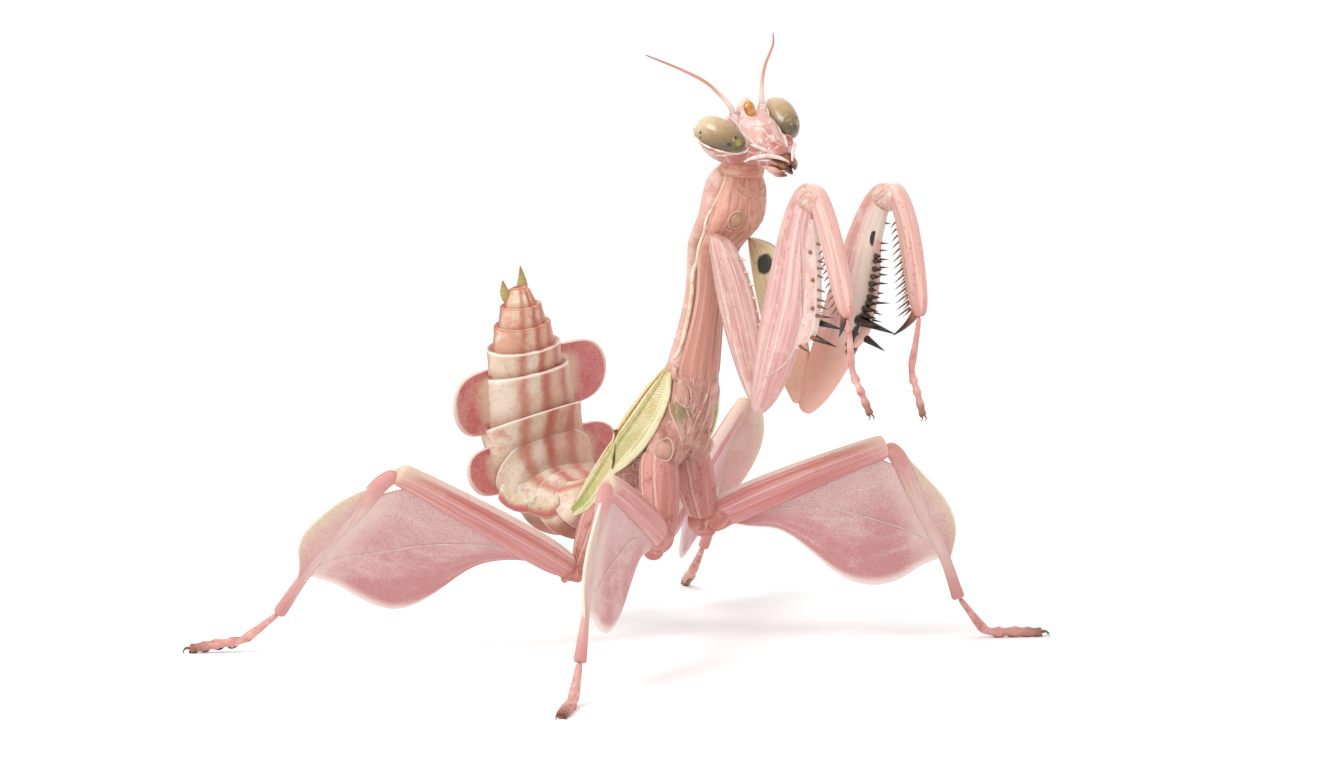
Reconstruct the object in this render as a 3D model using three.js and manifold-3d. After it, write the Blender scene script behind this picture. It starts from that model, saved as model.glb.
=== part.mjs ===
// A young orchid mantis at life size, standing on four legs, with folded forelegs and its abdomen curled up.
// Millimetres, +Z up. It faces -Y, and its left side is towards +X.
import * as THREE from "three";
import { mergeVertices } from "three/addons/utils/BufferGeometryUtils.js";
import Module from "manifold-3d";

const wasm = await Module();
wasm.setup();

// ---- Driving dimensions, in millimetres and degrees ----

const GAP = 0.2; // clearance between neighbouring plates
const SHEET = 0.55; // thickness of petals, lobes and wing pads
const REACH = 60; // a half space is a block this wide
const LIMB_SIDES = 8; // corners round a limb
const FINE_SIDES = 6; // corners round a foot or a feeler
const SPIKE_SIDES = 3; // corners round a spine
const BODY_SIDES = 10; // corners round the trunk, the abdomen and an eye
const HEAD_SIDES = 12; // corners round the head
const RIM_POINTS = 18; // corners round a petal or a wing pad
const LOBE_POINTS = 12; // corners round a side lobe of the abdomen
const LEFT = 1;
const RIGHT = -1;
const SIDE_NAMES = new Map([
  [RIGHT, "right"],
  [LEFT, "left"],
]);

// Trunk, as points (0, y, z) of its mid line.
const PROTHORAX_FOOT = { y: -2.1, z: 17.8 };
const PROTHORAX_TOP = { y: -5.65, z: 29.6 };
const MESOTHORAX_KNEE = { y: -0.9, z: 15.2 };
const METATHORAX_MIDDLE = { y: 2.4, z: 11.5 };
const TRUNK_END = { y: 5.4, z: 8.9 };
const MESOTHORAX_TOP = { y: -2.35, z: 17.5 };
const TRUNK_BREAK = 0.42; // share of the rear trunk that is mesothorax
// Share along the part, half width, half depth and, for the prothorax, how far it bows backwards.
const PROTHORAX_PROFILE = [
  [0, 1.55, 1.5, 0.1],
  [0.17, 1.3, 1.25, 0.15],
  [0.32, 1.1, 1.1, 0.35],
  [0.42, 1.25, 1.2, 0.35],
  [0.52, 1.55, 1.35, 0.35],
  [0.63, 1.95, 1.65, 0.15],
  [0.77, 2.1, 1.95, -0.6],
  [0.86, 2.05, 1.9, -0.5],
  [0.95, 1.9, 1.7, -0.2],
  [1.01, 1.45, 1.35, -0.1],
  [1.05, 0.95, 0.9, 0],
];
const TRUNK_PROFILE = [
  [0, 1.45, 1.4],
  [0.12, 1.75, 1.65],
  [0.3, 1.95, 1.9],
  [0.6, 2.15, 2.1],
  [0.85, 2.3, 2.05],
  [1, 2.2, 1.85],
];
const NECK = [
  { x: 0.3, y: -6.4, z: 31.6, wide: 1.1, deep: 0.95 },
  { x: 0.12, y: -6.0, z: 30.8, wide: 1.2, deep: 1.1 },
  { x: 0, y: -5.7, z: 29.9, wide: 1.25, deep: 1.1 },
];

// Abdomen, curled upwards behind the trunk and leaning to the right.
const ABDOMEN_LEAN = -9;
const ABDOMEN_PIVOT_HEIGHT = 9;
const ABDOMEN_CURL = [
  { y: 5.6, z: 8.9 },
  { y: 7.6, z: 8.2 },
  { y: 9.8, z: 8.7 },
  { y: 11.2, z: 10.2 },
  { y: 11.9, z: 12.0 },
  { y: 12.1, z: 14.6 },
  { y: 12.0, z: 17.4 },
  { y: 11.8, z: 20.0 },
  { y: 11.7, z: 22.0 },
];
// Share along the curl, half width and half depth.
const ABDOMEN_PROFILE = [
  [0, 2.1, 1.9],
  [0.12, 2.9, 2.2],
  [0.25, 3.5, 2.2],
  [0.4, 3.75, 2.1],
  [0.55, 3.6, 1.9],
  [0.68, 3.3, 1.7],
  [0.8, 2.7, 1.5],
  [0.9, 1.9, 1.25],
  [0.97, 1.1, 0.8],
  [1, 0.6, 0.45],
];
const RING_FLARE = 0.12; // a ring is this much wider at its rear edge
// Each ring of the abdomen: where it ends along the curl, and the reach and length of its side lobes.
const ABDOMEN_RINGS = [
  { end: 0.13 },
  { end: 0.24 },
  { end: 0.345, lobe: { out: 0.6, long: 2.0 } },
  { end: 0.455, lobe: { out: 0.9, long: 2.2 } },
  { end: 0.575, lobe: { out: 2.3, long: 3.1, shift: -0.6 } },
  { end: 0.7, lobe: { out: 2.95, long: 4.2, shift: 0.4 } },
  { end: 0.82, lobe: { out: 0.35, long: 2.0 } },
  { end: 0.91 },
  { end: 1 },
];
// The two tail feelers, before they lean with the abdomen.
const CERCUS = {
  root: { x: 0.43, y: 12.1, z: 21.3 },
  tips: new Map([
    [RIGHT, { x: 0.85, y: 12.3, z: 22.7 }],
    [LEFT, { x: 0.85, y: 12.3, z: 23.3 }],
  ]),
};

const CERCUS_PROFILE = [
  [0, 0.32, 0.32],
  [0.4, 0.3, 0.3],
  [1, 0.1, 0.1],
];

// Head, in its own frame: x to its left, y backwards, z up the face.
const HEAD_CENTRE = { x: -0.06, y: -6.74, z: 32.2 };
const HEAD_PITCH = -44.2;
const HEAD_ROLL = -12.9;
const HEAD_TURN = -4.5;
// From the mouth to the crown: height, place front to back, half width and half depth.
const HEAD_PROFILE = [
  [-3.0, -0.45, 0.95, 0.5],
  [-2.5, -0.38, 1.35, 0.7],
  [-1.9, -0.2, 2.0, 0.9],
  [-1.2, -0.02, 2.8, 1.05],
  [-0.3, 0.12, 2.95, 1.1],
  [0.6, 0.15, 2.4, 1.05],
  [1.2, 0.1, 1.95, 0.85],
  [1.65, 0.02, 1.25, 0.5],
];
const EYE = {
  centre: { x: 2.4, y: -0.25, z: -0.02 },
  upright: { x: 0.28, y: 0.27, z: 0.92 },
  halfLength: 1.78,
  radius: 1.1,
  rings: [-78, -52, -26, 0, 26, 52, 78], // degrees of latitude
};
const CONE = { root: { y: -0.3, z: 0.75 }, tip: { y: -1.35, z: 1.8 } };
const CONE_PROFILE = [
  [0, 0.7, 0.6],
  [0.6, 0.45, 0.4],
  [1, 0.15, 0.15],
];
const MOUTH = { root: { y: -0.5, z: -3.2 }, tip: { y: -0.6, z: -4.0 } };
const MOUTH_PROFILE = [
  [0, 0.95, 0.6],
  [0.5, 0.9, 0.55],
  [1, 0.5, 0.35],
];
// The feelers rise from the face beside the cone and curve outwards.
const ANTENNA_RADIUS = 0.26;
const ANTENNA_RINGS = 8;
const ANTENNA_PATHS = new Map([
  [RIGHT, [[1.0, -0.5, 0.75], [1.3, -1.3, 2.05], [2.0, -1.75, 3.1], [3.05, -1.85, 4.45], [4.2, -1.5, 6.35]]],
  [LEFT, [[1.3, -0.5, 0.8], [1.8, -1.3, 2.0], [2.7, -1.75, 2.95], [4.2, -1.85, 4.1], [5.2, -1.5, 5.15]]],
]);

// Walking legs. Each leg part points forward of straight sideways by the first angle, and up by the second.
const MID_LEG = { femur: 12.45, tibia: 11.1, heel: 2.83, toes: 3.55 };
const HIND_LEG = { femur: 14.8, tibia: 12.9, heel: 2.75, toes: 3.3 };
const WALKING_LEGS = [
  {
    name: "mid",
    side: RIGHT,
    sizes: MID_LEG,
    hip: { x: -2.2, y: -1.38, z: 7.44 },
    femur: [30.2, 22.3],
    tibia: [27.4, -63.5],
    heel: [36.4, -40],
    toes: [37.3, -3],
  },
  {
    name: "mid",
    side: LEFT,
    sizes: MID_LEG,
    hip: { x: 2.32, y: -0.38, z: 7.98 },
    femur: [33.1, 21.6],
    tibia: [34.2, -64.5],
    heel: [28.6, -48.4],
    toes: [36.6, -2.6],
  },
  {
    name: "hind",
    side: RIGHT,
    sizes: HIND_LEG,
    hip: { x: -2.68, y: 5.79, z: 4.6 },
    femur: [-8.1, 29.3],
    tibia: [-72.5, -46.9],
    heel: [-47.5, -35.9],
    toes: [-41.2, -9.4],
  },
  {
    name: "hind",
    side: LEFT,
    sizes: HIND_LEG,
    hip: { x: 2.82, y: 4.45, z: 5.64 },
    femur: [-17.4, 33.9],
    tibia: [-67.5, -55.7],
    heel: [-67.8, -44.2],
    toes: [-53.3, -19.4],
    petalTurn: 45,
  },
];
const COXA_ROOT = { mid: { x: 1.75, y: -0.9, z: 12.3 }, hind: { x: 1.9, y: 4.0, z: 9.4 } };
// Share along the leg part, half width, half depth and how far it hangs below its straight line.
const COXA_PROFILES = {
  mid: [
    [0, 1.0, 1.15],
    [0.3, 1.05, 1.25],
    [0.6, 0.98, 1.15],
    [0.85, 0.85, 1.0],
    [1.06, 0.75, 0.85],
    [1.16, 0.4, 0.5],
  ],
  hind: [
    [0, 1.0, 1.15],
    [0.3, 1.0, 1.15],
    [0.6, 0.85, 0.9],
    [0.85, 0.65, 0.65],
    [1.0, 0.5, 0.5],
    [1.08, 0.3, 0.3],
  ],
};
const FEMUR_PROFILE = [
  [-0.03, 0.55, 0.45, 0.1],
  [0.04, 0.9, 0.6, 0.15],
  [0.2, 0.9, 0.6, 0],
  [0.6, 0.8, 0.55, 0],
  [0.96, 0.6, 0.48, 0],
  [1.03, 0.35, 0.35, 0],
];
const TIBIA_PROFILE = [
  [0, 0.4, 0.4],
  [0.07, 0.58, 0.46],
  [0.3, 0.45, 0.4],
  [0.75, 0.42, 0.36],
  [0.97, 0.46, 0.4],
  [1.01, 0.35, 0.3],
];
// Share of the way from the ankle to the heel, or from the heel to the toes, half width and half depth.
const HEEL_PROFILE = [
  [0.02, 0.3, 0.3],
  [0.3, 0.36, 0.34],
  [0.8, 0.4, 0.38],
];
const TOE_PROFILE = [
  [0.1, 0.45, 0.42],
  [0.45, 0.44, 0.4],
  [0.8, 0.5, 0.42],
  [1.12, 0.4, 0.34],
];

// Petals of the walking legs, in the plane of the leg: out along the femur, then down towards the foot.
const PETALS = {
  mid: {
    femur: [
      [0.6, 0.1],
      [2.3, 1.5],
      [4.25, 2.5],
      [5.5, 4.5],
      [6.7, 6.75],
      [8.25, 8.1],
      [10.15, 8.5],
      [12.9, 8.2],
      [12.6, 4.6],
      [12.3, 1.4],
      [11.5, 0.1],
    ],
    tibia: [
      [12.55, 0.5],
      [13.31, 1.27],
      [14.04, 2.94],
      [14.73, 4.73],
      [14.86, 6.36],
      [14.4, 7.54],
      [13.58, 8.56],
      [12.95, 9.6],
      [12.8, 5],
    ],
  },
  hind: {
    femur: [
      [0.3, 0.1],
      [0.93, 0.5],
      [3.6, 1.15],
      [5.75, 3.0],
      [6.2, 5.1],
      [6.55, 7.05],
      [7.53, 8.73],
      [9.62, 9.18],
      [11.74, 9.1],
      [13.6, 9.4],
      [14.0, 5.4],
      [14.0, 1.6],
      [13.4, 0.1],
    ],
    tibia: [
      [14.75, 0.9],
      [15.43, 2.02],
      [16.21, 3.45],
      [16.58, 5.35],
      [16.54, 7.18],
      [15.82, 8.4],
      [14.89, 9.22],
      [13.75, 10.6],
      [14.2, 5],
    ],
  },
};

// Forelegs, folded before the chest. Each part swings outwards by the first angle and rises by the second.
const FORELEG = { coxa: 10.1, femur: 13.8, tibia: 7.7, heel: 3.15, toes: 2.85 };
const FORELEGS = [
  {
    side: RIGHT,
    root: { x: -2.09, y: -6.18, z: 25.69 },
    coxa: [-0.5, -70.5],
    femur: [5.0, 67.2],
    tibia: [0.4, -66.7],
    heel: [-12.8, -97],
    toes: [-2.6, -62],
    femurBow: -0.1,
    tibiaBow: 0.5,
  },
  {
    side: LEFT,
    root: { x: 2.13, y: -5.97, z: 25.34 },
    coxa: [-0.9, -67.4],
    femur: [5.0, 67.3],
    tibia: [-0.2, -68.7],
    heel: [-9.8, -94],
    toes: [-4.0, -67],
    femurBow: 0.3,
    tibiaBow: 0.95,
  },
];
// Share along the leg part, half width, half depth and bow: a femur bows towards the tibia, and a tibia away.
const FORE_COXA_PROFILE = [
  [-0.02, 0.6, 0.9],
  [0.12, 0.7, 1.35],
  [0.35, 0.68, 1.6],
  [0.6, 0.64, 1.45],
  [0.85, 0.58, 1.05],
  [1, 0.45, 0.6],
];
const FORE_FEMUR_PROFILE = [
  [-0.03, 0.4, 0.6, 0],
  [0.06, 0.62, 1.05, 0.1],
  [0.2, 0.74, 1.5, 0.2],
  [0.36, 0.78, 1.8, 0.15],
  [0.55, 0.74, 1.95, 0.15],
  [0.68, 0.7, 1.75, 0],
  [0.8, 0.64, 1.35, -0.25],
  [0.9, 0.58, 1.15, -0.4],
  [0.97, 0.52, 0.95, -0.35],
  [1.01, 0.38, 0.6, -0.25],
];
const FORE_TIBIA_PROFILE = [
  [-0.01, 0.38, 0.4, 0.55],
  [0.07, 0.46, 0.68, 0.9],
  [0.25, 0.46, 0.76, 1],
  [0.5, 0.44, 0.82, 0.75],
  [0.75, 0.42, 0.8, 0.35],
  [0.92, 0.38, 0.66, 0.1],
  [1.0, 0.28, 0.4, -0.1],
];
const FORE_HEEL_PROFILE = [
  [0.05, 0.26, 0.26],
  [0.9, 0.32, 0.32],
];
const FORE_TOE_PROFILE = [
  [0.25, 0.33, 0.33],
  [0.7, 0.34, 0.34],
  [1.08, 0.28, 0.28],
];

// Two rows of spines meet between femur and tibia. A row runs from one share of its leg part to another, and
// is rooted off the mid line by its lift.
const SPINE_COUNT = 12;
const SPINE_ROOT = 0.2; // radius of a spine where it leaves the leg
const FEMUR_SPINES = { from: 0.3, to: 0.78, lift: 1.55, fall: 0.9, short: 1.1, long: 1.9, longest: 5 };
const TIBIA_SPINES = { from: 0.2, to: 0.88, lift: -0.3, rise: 0.3, short: 0.9, growth: 0.5 };
const CLAW = { from: 0.9, root: 0.42, drop: 0.6, reach: 2.1 };

// Wing pads, in the plane of the pad: along it from the hinge, then across it towards the belly.
const PAD_HINGE = { x: 1.42, y: -1.3, z: 17.84 };
const PAD_TIP = { x: 2.9, y: 6.07, z: 8.18 };
const PAD_FACE = { x: 0.95, y: 0.15, z: 0.26 };
const FORE_PAD = [
  [0.0, 0.0],
  [2.05, -0.52],
  [4.38, -0.68],
  [6.06, -0.72],
  [7.03, 0.35],
  [7.72, 1.37],
  [5.71, 2.18],
  [4.05, 2.4],
  [2.28, 2.1],
  [1.1, 1.59],
  [0.41, 0.77],
];
const HIND_PAD = [
  [6.35, -0.6],
  [8.18, -0.6],
  [9.67, -0.5],
  [11.38, -0.36],
  [12.31, -0.2],
  [12.07, 0.4],
  [11.04, 0.99],
  [9.38, 1.28],
  [8.0, 1.3],
  [7.1, 0.4],
];

// ---- Colours ----

const paint = (color, roughness = 0.55) => new THREE.MeshStandardMaterial({ color, roughness, metalness: 0 });
const PINK = paint("#e8b3ae");
const ROSE = paint("#d59a97");
const PETAL_PINK = paint("#e3b9b8", 0.6);
const SALMON = paint("#eebda6");
const CREAM = paint("#e9dcc0");
const PAD_GREEN = paint("#dbdca2", 0.5);
const CORAL = paint("#c9837b");
const EYE_BEIGE = paint("#b8a988", 0.3);
const MOUTH_BROWN = paint("#7a4a33", 0.4);
const ANTENNA_RED = paint("#b9705c");
const STRAW = paint("#b7a25f");

// ---- Solids ----

const radians = THREE.MathUtils.degToRad;
const point = ({ x = 0, y = 0, z = 0 }) => new THREE.Vector3(x, y, z);
const mirrored = ({ x = 0, y = 0, z = 0 }, side) => new THREE.Vector3(x * side, y, z);
const between = (from, to, share) => from.clone().lerp(to, share);
const SIDEWAYS = point({ x: 1 });
const UP = point({ z: 1 });

/** Turns a closed three.js geometry into a manifold solid, with its faces pointing out. */
function solidOf(geometry) {
  const bare = geometry.index ? geometry.toNonIndexed() : geometry.clone();
  bare.deleteAttribute("normal");
  bare.deleteAttribute("uv");
  const merged = mergeVertices(bare, 1e-4);
  const vertProperties = merged.attributes.position.array;
  const build = (triVerts) => new wasm.Manifold(new wasm.Mesh({ numProp: 3, vertProperties, triVerts }));
  const triangles = new Uint32Array(merged.index.array);
  const made = build(triangles);
  return made.volume() > 0 ? made : build(triangles.reverse());
}

/** Turns a manifold solid back into a three.js geometry. */
function geometryOf(solid) {
  const mesh = solid.getMesh();
  const geometry = new THREE.BufferGeometry();
  geometry.setAttribute("position", new THREE.BufferAttribute(mesh.vertProperties, 3));
  geometry.setIndex(new THREE.BufferAttribute(mesh.triVerts, 1));
  geometry.computeVertexNormals();
  return geometry;
}

/** A closed solid through rings of equally many points, with a pole at the middle of each end. */
function skinOver(rings) {
  const sides = rings[0].length;
  const middle = (ring) => ring.reduce((sum, p) => sum.add(p), new THREE.Vector3()).divideScalar(sides);
  const points = [...rings.flat(), middle(rings[0]), middle(rings.at(-1))];
  const firstPole = points.length - 2;
  const lastPole = points.length - 1;
  const lastRing = (rings.length - 1) * sides;
  const index = [];
  for (let corner = 0; corner < sides; corner++) {
    const next = (corner + 1) % sides;
    index.push(firstPole, next, corner);
    for (let row = 0; row < lastRing; row += sides) {
      index.push(row + corner, row + next, row + sides + next);
      index.push(row + corner, row + sides + next, row + sides + corner);
    }
    index.push(lastPole, lastRing + corner, lastRing + next);
  }
  const geometry = new THREE.BufferGeometry().setFromPoints(points);
  geometry.setIndex(index);
  return solidOf(geometry);
}

/**
 * A limb or a body ring through stations of { at, wide, deep }: wide is the half width along the across
 * direction, and deep the half depth. A station may give the direction along the limb. Grow makes the solid
 * thicker and longer all round.
 */
function loft(stations, across, grow = 0, sides = LIMB_SIDES) {
  const last = stations.length - 1;
  const rings = stations.map(({ at, along: given, wide, deep }, i) => {
    const from = stations[Math.max(i - 1, 0)].at;
    const to = stations[Math.min(i + 1, last)].at;
    const along = given ?? to.clone().sub(from).normalize();
    const deepWay = along.clone().cross(across).normalize();
    const wideWay = deepWay.clone().cross(along).normalize();
    const outwards = (i === last) - (i === 0);
    const centre = at.clone().addScaledVector(along, outwards * grow);
    return Array.from({ length: sides }, (_, k) => {
      const angle = (2 * Math.PI * (k + 0.5)) / sides;
      const corner = centre.clone().addScaledVector(wideWay, (wide + grow) * Math.cos(angle));
      return corner.addScaledVector(deepWay, (deep + grow) * Math.sin(angle));
    });
  });
  return skinOver(rings);
}

/**
 * Stations between two points, for a profile of [share, half width, half depth, bow]: bow is how far off the
 * straight line a station lies, along bowWay.
 */
const straight = (from, to, profile, bowWay = new THREE.Vector3()) =>
  profile.map(([share, wide, deep, bow = 0]) => ({
    at: between(from, to, share).addScaledVector(bowWay, bow),
    wide,
    deep,
  }));

/**
 * A flat plate of thickness SHEET, whose outline is a smooth loop through points given along two directions.
 * Grow makes it thicker, and wider away from the middle of its outline.
 */
function plate(outline, origin, firstWay, secondWay, grow = 0, steps = RIM_POINTS) {
  const loop = new THREE.CatmullRomCurve3(outline.map(([a, b]) => new THREE.Vector3(a, b, 0)), true);
  const rim = loop.getPoints(steps).slice(0, -1);
  const middle = rim.reduce((sum, p) => sum.add(p), new THREE.Vector3()).divideScalar(rim.length);
  const grown = rim.map((p) => p.clone().addScaledVector(p.clone().sub(middle).normalize(), grow));
  const shape = new THREE.Shape(grown.map((p) => new THREE.Vector2(p.x, p.y)));
  const depth = SHEET + 2 * grow;
  const geometry = new THREE.ExtrudeGeometry(shape, { depth, bevelEnabled: false });
  geometry.translate(0, 0, -depth / 2);
  const normal = firstWay.clone().cross(secondWay).normalize();
  const basis = new THREE.Matrix4().makeBasis(firstWay, normal.clone().cross(firstWay), normal);
  return solidOf(geometry.applyMatrix4(basis).translate(origin.x, origin.y, origin.z));
}

/** A thin spike from a root to a tip. */
function spike(root, tip, radius) {
  const blunt = radius / 6;
  return loft(straight(root, tip, [[0, radius, radius], [1, blunt, blunt]]), SIDEWAYS, 0, SPIKE_SIDES);
}

/** All space on the side of a plane that the normal points to. */
function halfSpace(onPlane, normal) {
  const block = new THREE.BoxGeometry(REACH, REACH, REACH).translate(0, 0, REACH / 2);
  const turn = new THREE.Quaternion().setFromUnitVectors(UP, normal.clone().normalize());
  return solidOf(block.applyQuaternion(turn).translate(onPlane.x, onPlane.y, onPlane.z));
}

const join = (solids) => solids.reduce((all, one) => all.add(one));

/** Takes the cutters out of a solid and keeps its largest body. */
function trimmed(solid, cutters) {
  const rest = cutters.reduce((body, cutter) => body.subtract(cutter), solid);
  return rest.decompose().reduce((best, body) => (body.volume() > best.volume() ? body : best));
}

const FLOOR = halfSpace(point({}), point({ z: -1 }));

const mantis = new THREE.Group();

/** Adds one named sub-part to the mantis. */
function addPart(name, solid, material, cutters = []) {
  const mesh = new THREE.Mesh(geometryOf(trimmed(solid, cutters)), material);
  mesh.name = name;
  mantis.add(mesh);
}

// ---- Head ----

const headFrame = new THREE.Matrix4().compose(
  point(HEAD_CENTRE),
  new THREE.Quaternion().setFromEuler(
    new THREE.Euler(radians(HEAD_PITCH), radians(HEAD_ROLL), radians(HEAD_TURN), "ZYX"),
  ),
  new THREE.Vector3(1, 1, 1),
);
const onHead = (place) => point(place).applyMatrix4(headFrame);
const headWay = (way) => point(way).transformDirection(headFrame);
const headSideways = headWay({ x: 1 });

const headCapsule = (grow = 0) =>
  loft(
    HEAD_PROFILE.map(([z, y, wide, deep]) => ({ at: onHead({ y, z }), wide, deep })),
    headSideways,
    grow,
    HEAD_SIDES,
  );

/** An upright oval eye. */
function eye(side, grow = 0) {
  const centre = onHead({ ...EYE.centre, x: EYE.centre.x * side });
  const upright = headWay({ ...EYE.upright, x: EYE.upright.x * side });
  const stations = EYE.rings.map(radians).map((latitude) => ({
    at: centre.clone().addScaledVector(upright, EYE.halfLength * Math.sin(latitude)),
    wide: EYE.radius * Math.cos(latitude),
    deep: EYE.radius * Math.cos(latitude),
  }));
  return loft(stations, headSideways, grow, BODY_SIDES);
}

const onFace = ({ root, tip }, profile) => loft(straight(onHead(root), onHead(tip), profile), headSideways);
const eyeSockets = [eye(RIGHT, GAP / 2), eye(LEFT, GAP / 2)];
addPart("head", headCapsule().add(onFace(CONE, CONE_PROFILE)), PINK, eyeSockets);
addPart("eye_right", eye(RIGHT), EYE_BEIGE);
addPart("eye_left", eye(LEFT), EYE_BEIGE);
addPart("mouthparts", onFace(MOUTH, MOUTH_PROFILE), MOUTH_BROWN);

for (const [side, path] of ANTENNA_PATHS) {
  const curve = new THREE.CatmullRomCurve3(path.map(([x, y, z]) => onHead({ x: x * side, y, z })));
  const stations = curve
    .getSpacedPoints(ANTENNA_RINGS)
    .map((at) => ({ at, wide: ANTENNA_RADIUS, deep: ANTENNA_RADIUS }));
  const feeler = loft(stations, headSideways, 0, FINE_SIDES);
  addPart(`antenna_${SIDE_NAMES.get(side)}`, feeler, ANTENNA_RED, [headCapsule(GAP), ...eyeSockets]);
}

// ---- Thorax ----

const prothoraxFoot = point(PROTHORAX_FOOT);
const prothoraxTop = point(PROTHORAX_TOP);
const upTheNeck = prothoraxTop.clone().sub(prothoraxFoot).normalize();
const backwards = upTheNeck.clone().cross(SIDEWAYS).normalize();
const prothorax = (grow = 0) =>
  loft(straight(prothoraxFoot, prothoraxTop, PROTHORAX_PROFILE, backwards), SIDEWAYS, grow, BODY_SIDES);
const backOfGap = prothoraxFoot.clone().addScaledVector(backwards, GAP / 2);
const frontOfGap = prothoraxFoot.clone().addScaledVector(backwards, -GAP / 2);

const neck = loft(NECK.map(({ wide, deep, ...at }) => ({ at: point(at), wide, deep })), SIDEWAYS);
addPart("neck", neck, SALMON, [headCapsule(GAP), prothorax(GAP)]);

/** A wing pad, lying flat on the flank. */

function wingPad(side, outline, grow = 0) {
  const hinge = mirrored(PAD_HINGE, side);
  const along = mirrored(PAD_TIP, side).sub(hinge).normalize();
  const towardsBelly = along.clone().cross(mirrored(PAD_FACE, side)).multiplyScalar(side).normalize();
  return plate(outline, hinge, along, towardsBelly, grow);
}

const padSockets = [];
for (const [side, sideName] of SIDE_NAMES) {
  addPart(`fore_wing_pad_${sideName}`, wingPad(side, FORE_PAD), PAD_GREEN);
  addPart(`hind_wing_pad_${sideName}`, wingPad(side, HIND_PAD), PAD_GREEN, [wingPad(side, FORE_PAD, GAP)]);
  padSockets.push(wingPad(side, FORE_PAD, GAP), wingPad(side, HIND_PAD, GAP));
}

// A seam parts the prothorax into its back plate and its breast plate.
const forwards = backwards.clone().negate();
addPart("pronotum", prothorax(), PINK, [halfSpace(backOfGap, forwards), ...padSockets]);

// The rear trunk bends back from the foot of the prothorax to the root of the abdomen.
const trunkCurve = new THREE.CatmullRomCurve3(
  [MESOTHORAX_TOP, MESOTHORAX_KNEE, METATHORAX_MIDDLE, TRUNK_END].map(point),
);

/** Half width and half depth at a share along a profile of [share, half width, half depth]. */
function sizeAt(profile, share) {
  const after = Math.max(1, profile.findIndex(([s]) => s >= share));
  const [s0, w0, d0] = profile[after - 1];
  const [s1, w1, d1] = profile[after];
  const mix = (share - s0) / (s1 - s0);
  return { wide: THREE.MathUtils.lerp(w0, w1, mix), deep: THREE.MathUtils.lerp(d0, d1, mix) };
}

/** A length of the rear trunk between two shares of its mid line. */
function trunkPart(from, to, rings, grow = 0) {
  const stations = Array.from({ length: rings }, (_, i) => {
    const share = THREE.MathUtils.lerp(from, to, i / (rings - 1));
    return { at: trunkCurve.getPointAt(share), ...sizeAt(TRUNK_PROFILE, share) };
  });
  return loft(stations, SIDEWAYS, grow, BODY_SIDES);
}

const halfSeam = GAP / 2 / trunkCurve.getLength();
const rearTrunk = (grow = 0) => trunkPart(0, 1, 9, grow);
const pronotumSocket = prothorax(GAP).subtract(halfSpace(frontOfGap, forwards));
addPart("prosternum", prothorax(), SALMON, [halfSpace(frontOfGap, backwards), rearTrunk(GAP), ...padSockets]);
addPart("mesothorax", trunkPart(0, TRUNK_BREAK - halfSeam, 5), ROSE, [pronotumSocket, ...padSockets]);
addPart("metathorax", trunkPart(TRUNK_BREAK + halfSeam, 1, 5), ROSE, padSockets);

// ---- Abdomen ----

const leanTurn = new THREE.Quaternion().setFromAxisAngle(point({ y: 1 }), radians(ABDOMEN_LEAN));
const pivot = point({ z: ABDOMEN_PIVOT_HEIGHT });
const leaned = (p) => p.clone().sub(pivot).applyQuaternion(leanTurn).add(pivot);
const abdomenCurve = new THREE.CatmullRomCurve3(ABDOMEN_CURL.map(point).map(leaned));
const acrossAbdomen = SIDEWAYS.clone().applyQuaternion(leanTurn);
const halfGapShare = GAP / 2 / abdomenCurve.getLength();

/** The plain body of one abdomen ring, a little wider at its rear edge. */
function ringBody(i, grow = 0) {
  const from = i === 0 ? 0 : ABDOMEN_RINGS[i - 1].end + halfGapShare;
  const to = i === ABDOMEN_RINGS.length - 1 ? 1 : ABDOMEN_RINGS[i].end - halfGapShare;
  const stations = [0, 0.5, 1].map((step) => {
    const share = THREE.MathUtils.lerp(from, to, step);
    const { wide, deep } = sizeAt(ABDOMEN_PROFILE, share);
    const flare = RING_FLARE * step;
    return {
      at: abdomenCurve.getPointAt(share),
      along: abdomenCurve.getTangentAt(share),
      wide: wide + flare,
      deep: deep + flare,
    };
  });
  return loft(stations, acrossAbdomen, grow, BODY_SIDES);
}

/** The flat side lobe of an abdomen ring. */
function ringLobe(i, side, grow = 0) {
  const { out, long, shift = 0 } = ABDOMEN_RINGS[i].lobe;
  const middle = (ABDOMEN_RINGS[i - 1].end + ABDOMEN_RINGS[i].end) / 2;
  const tipwards = abdomenCurve.getTangentAt(middle);
  const centre = abdomenCurve.getPointAt(middle).addScaledVector(tipwards, shift);
  const { wide } = sizeAt(ABDOMEN_PROFILE, middle);
  const outline = [
    [-long / 2, wide - 0.6],
    [-long / 2, wide + out * 0.5],
    [-long / 4, wide + out * 0.93],
    [long / 4, wide + out],
    [long / 2, wide + out * 0.6],
    [long / 2.4, wide - 0.2],
    [0, wide - 0.9],
  ];
  return plate(outline, centre, tipwards, acrossAbdomen.clone().multiplyScalar(side), grow, LOBE_POINTS);
}

ABDOMEN_RINGS.forEach(({ lobe }, i) => {
  let ring = ringBody(i);
  if (lobe) {
    const before = ABDOMEN_RINGS[i - 1].lobe;
    const olderLobes = before ? [ringLobe(i - 1, RIGHT, GAP), ringLobe(i - 1, LEFT, GAP)] : [];
    const cutters = [ringBody(i - 1, GAP), ringBody(i + 1, GAP), ...olderLobes];
    ring = join([ring, trimmed(ringLobe(i, RIGHT), cutters), trimmed(ringLobe(i, LEFT), cutters)]);
  }
  addPart(`abdomen_ring_${i + 1}`, ring, CREAM, i ? [] : [rearTrunk(GAP)]);
});

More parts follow.
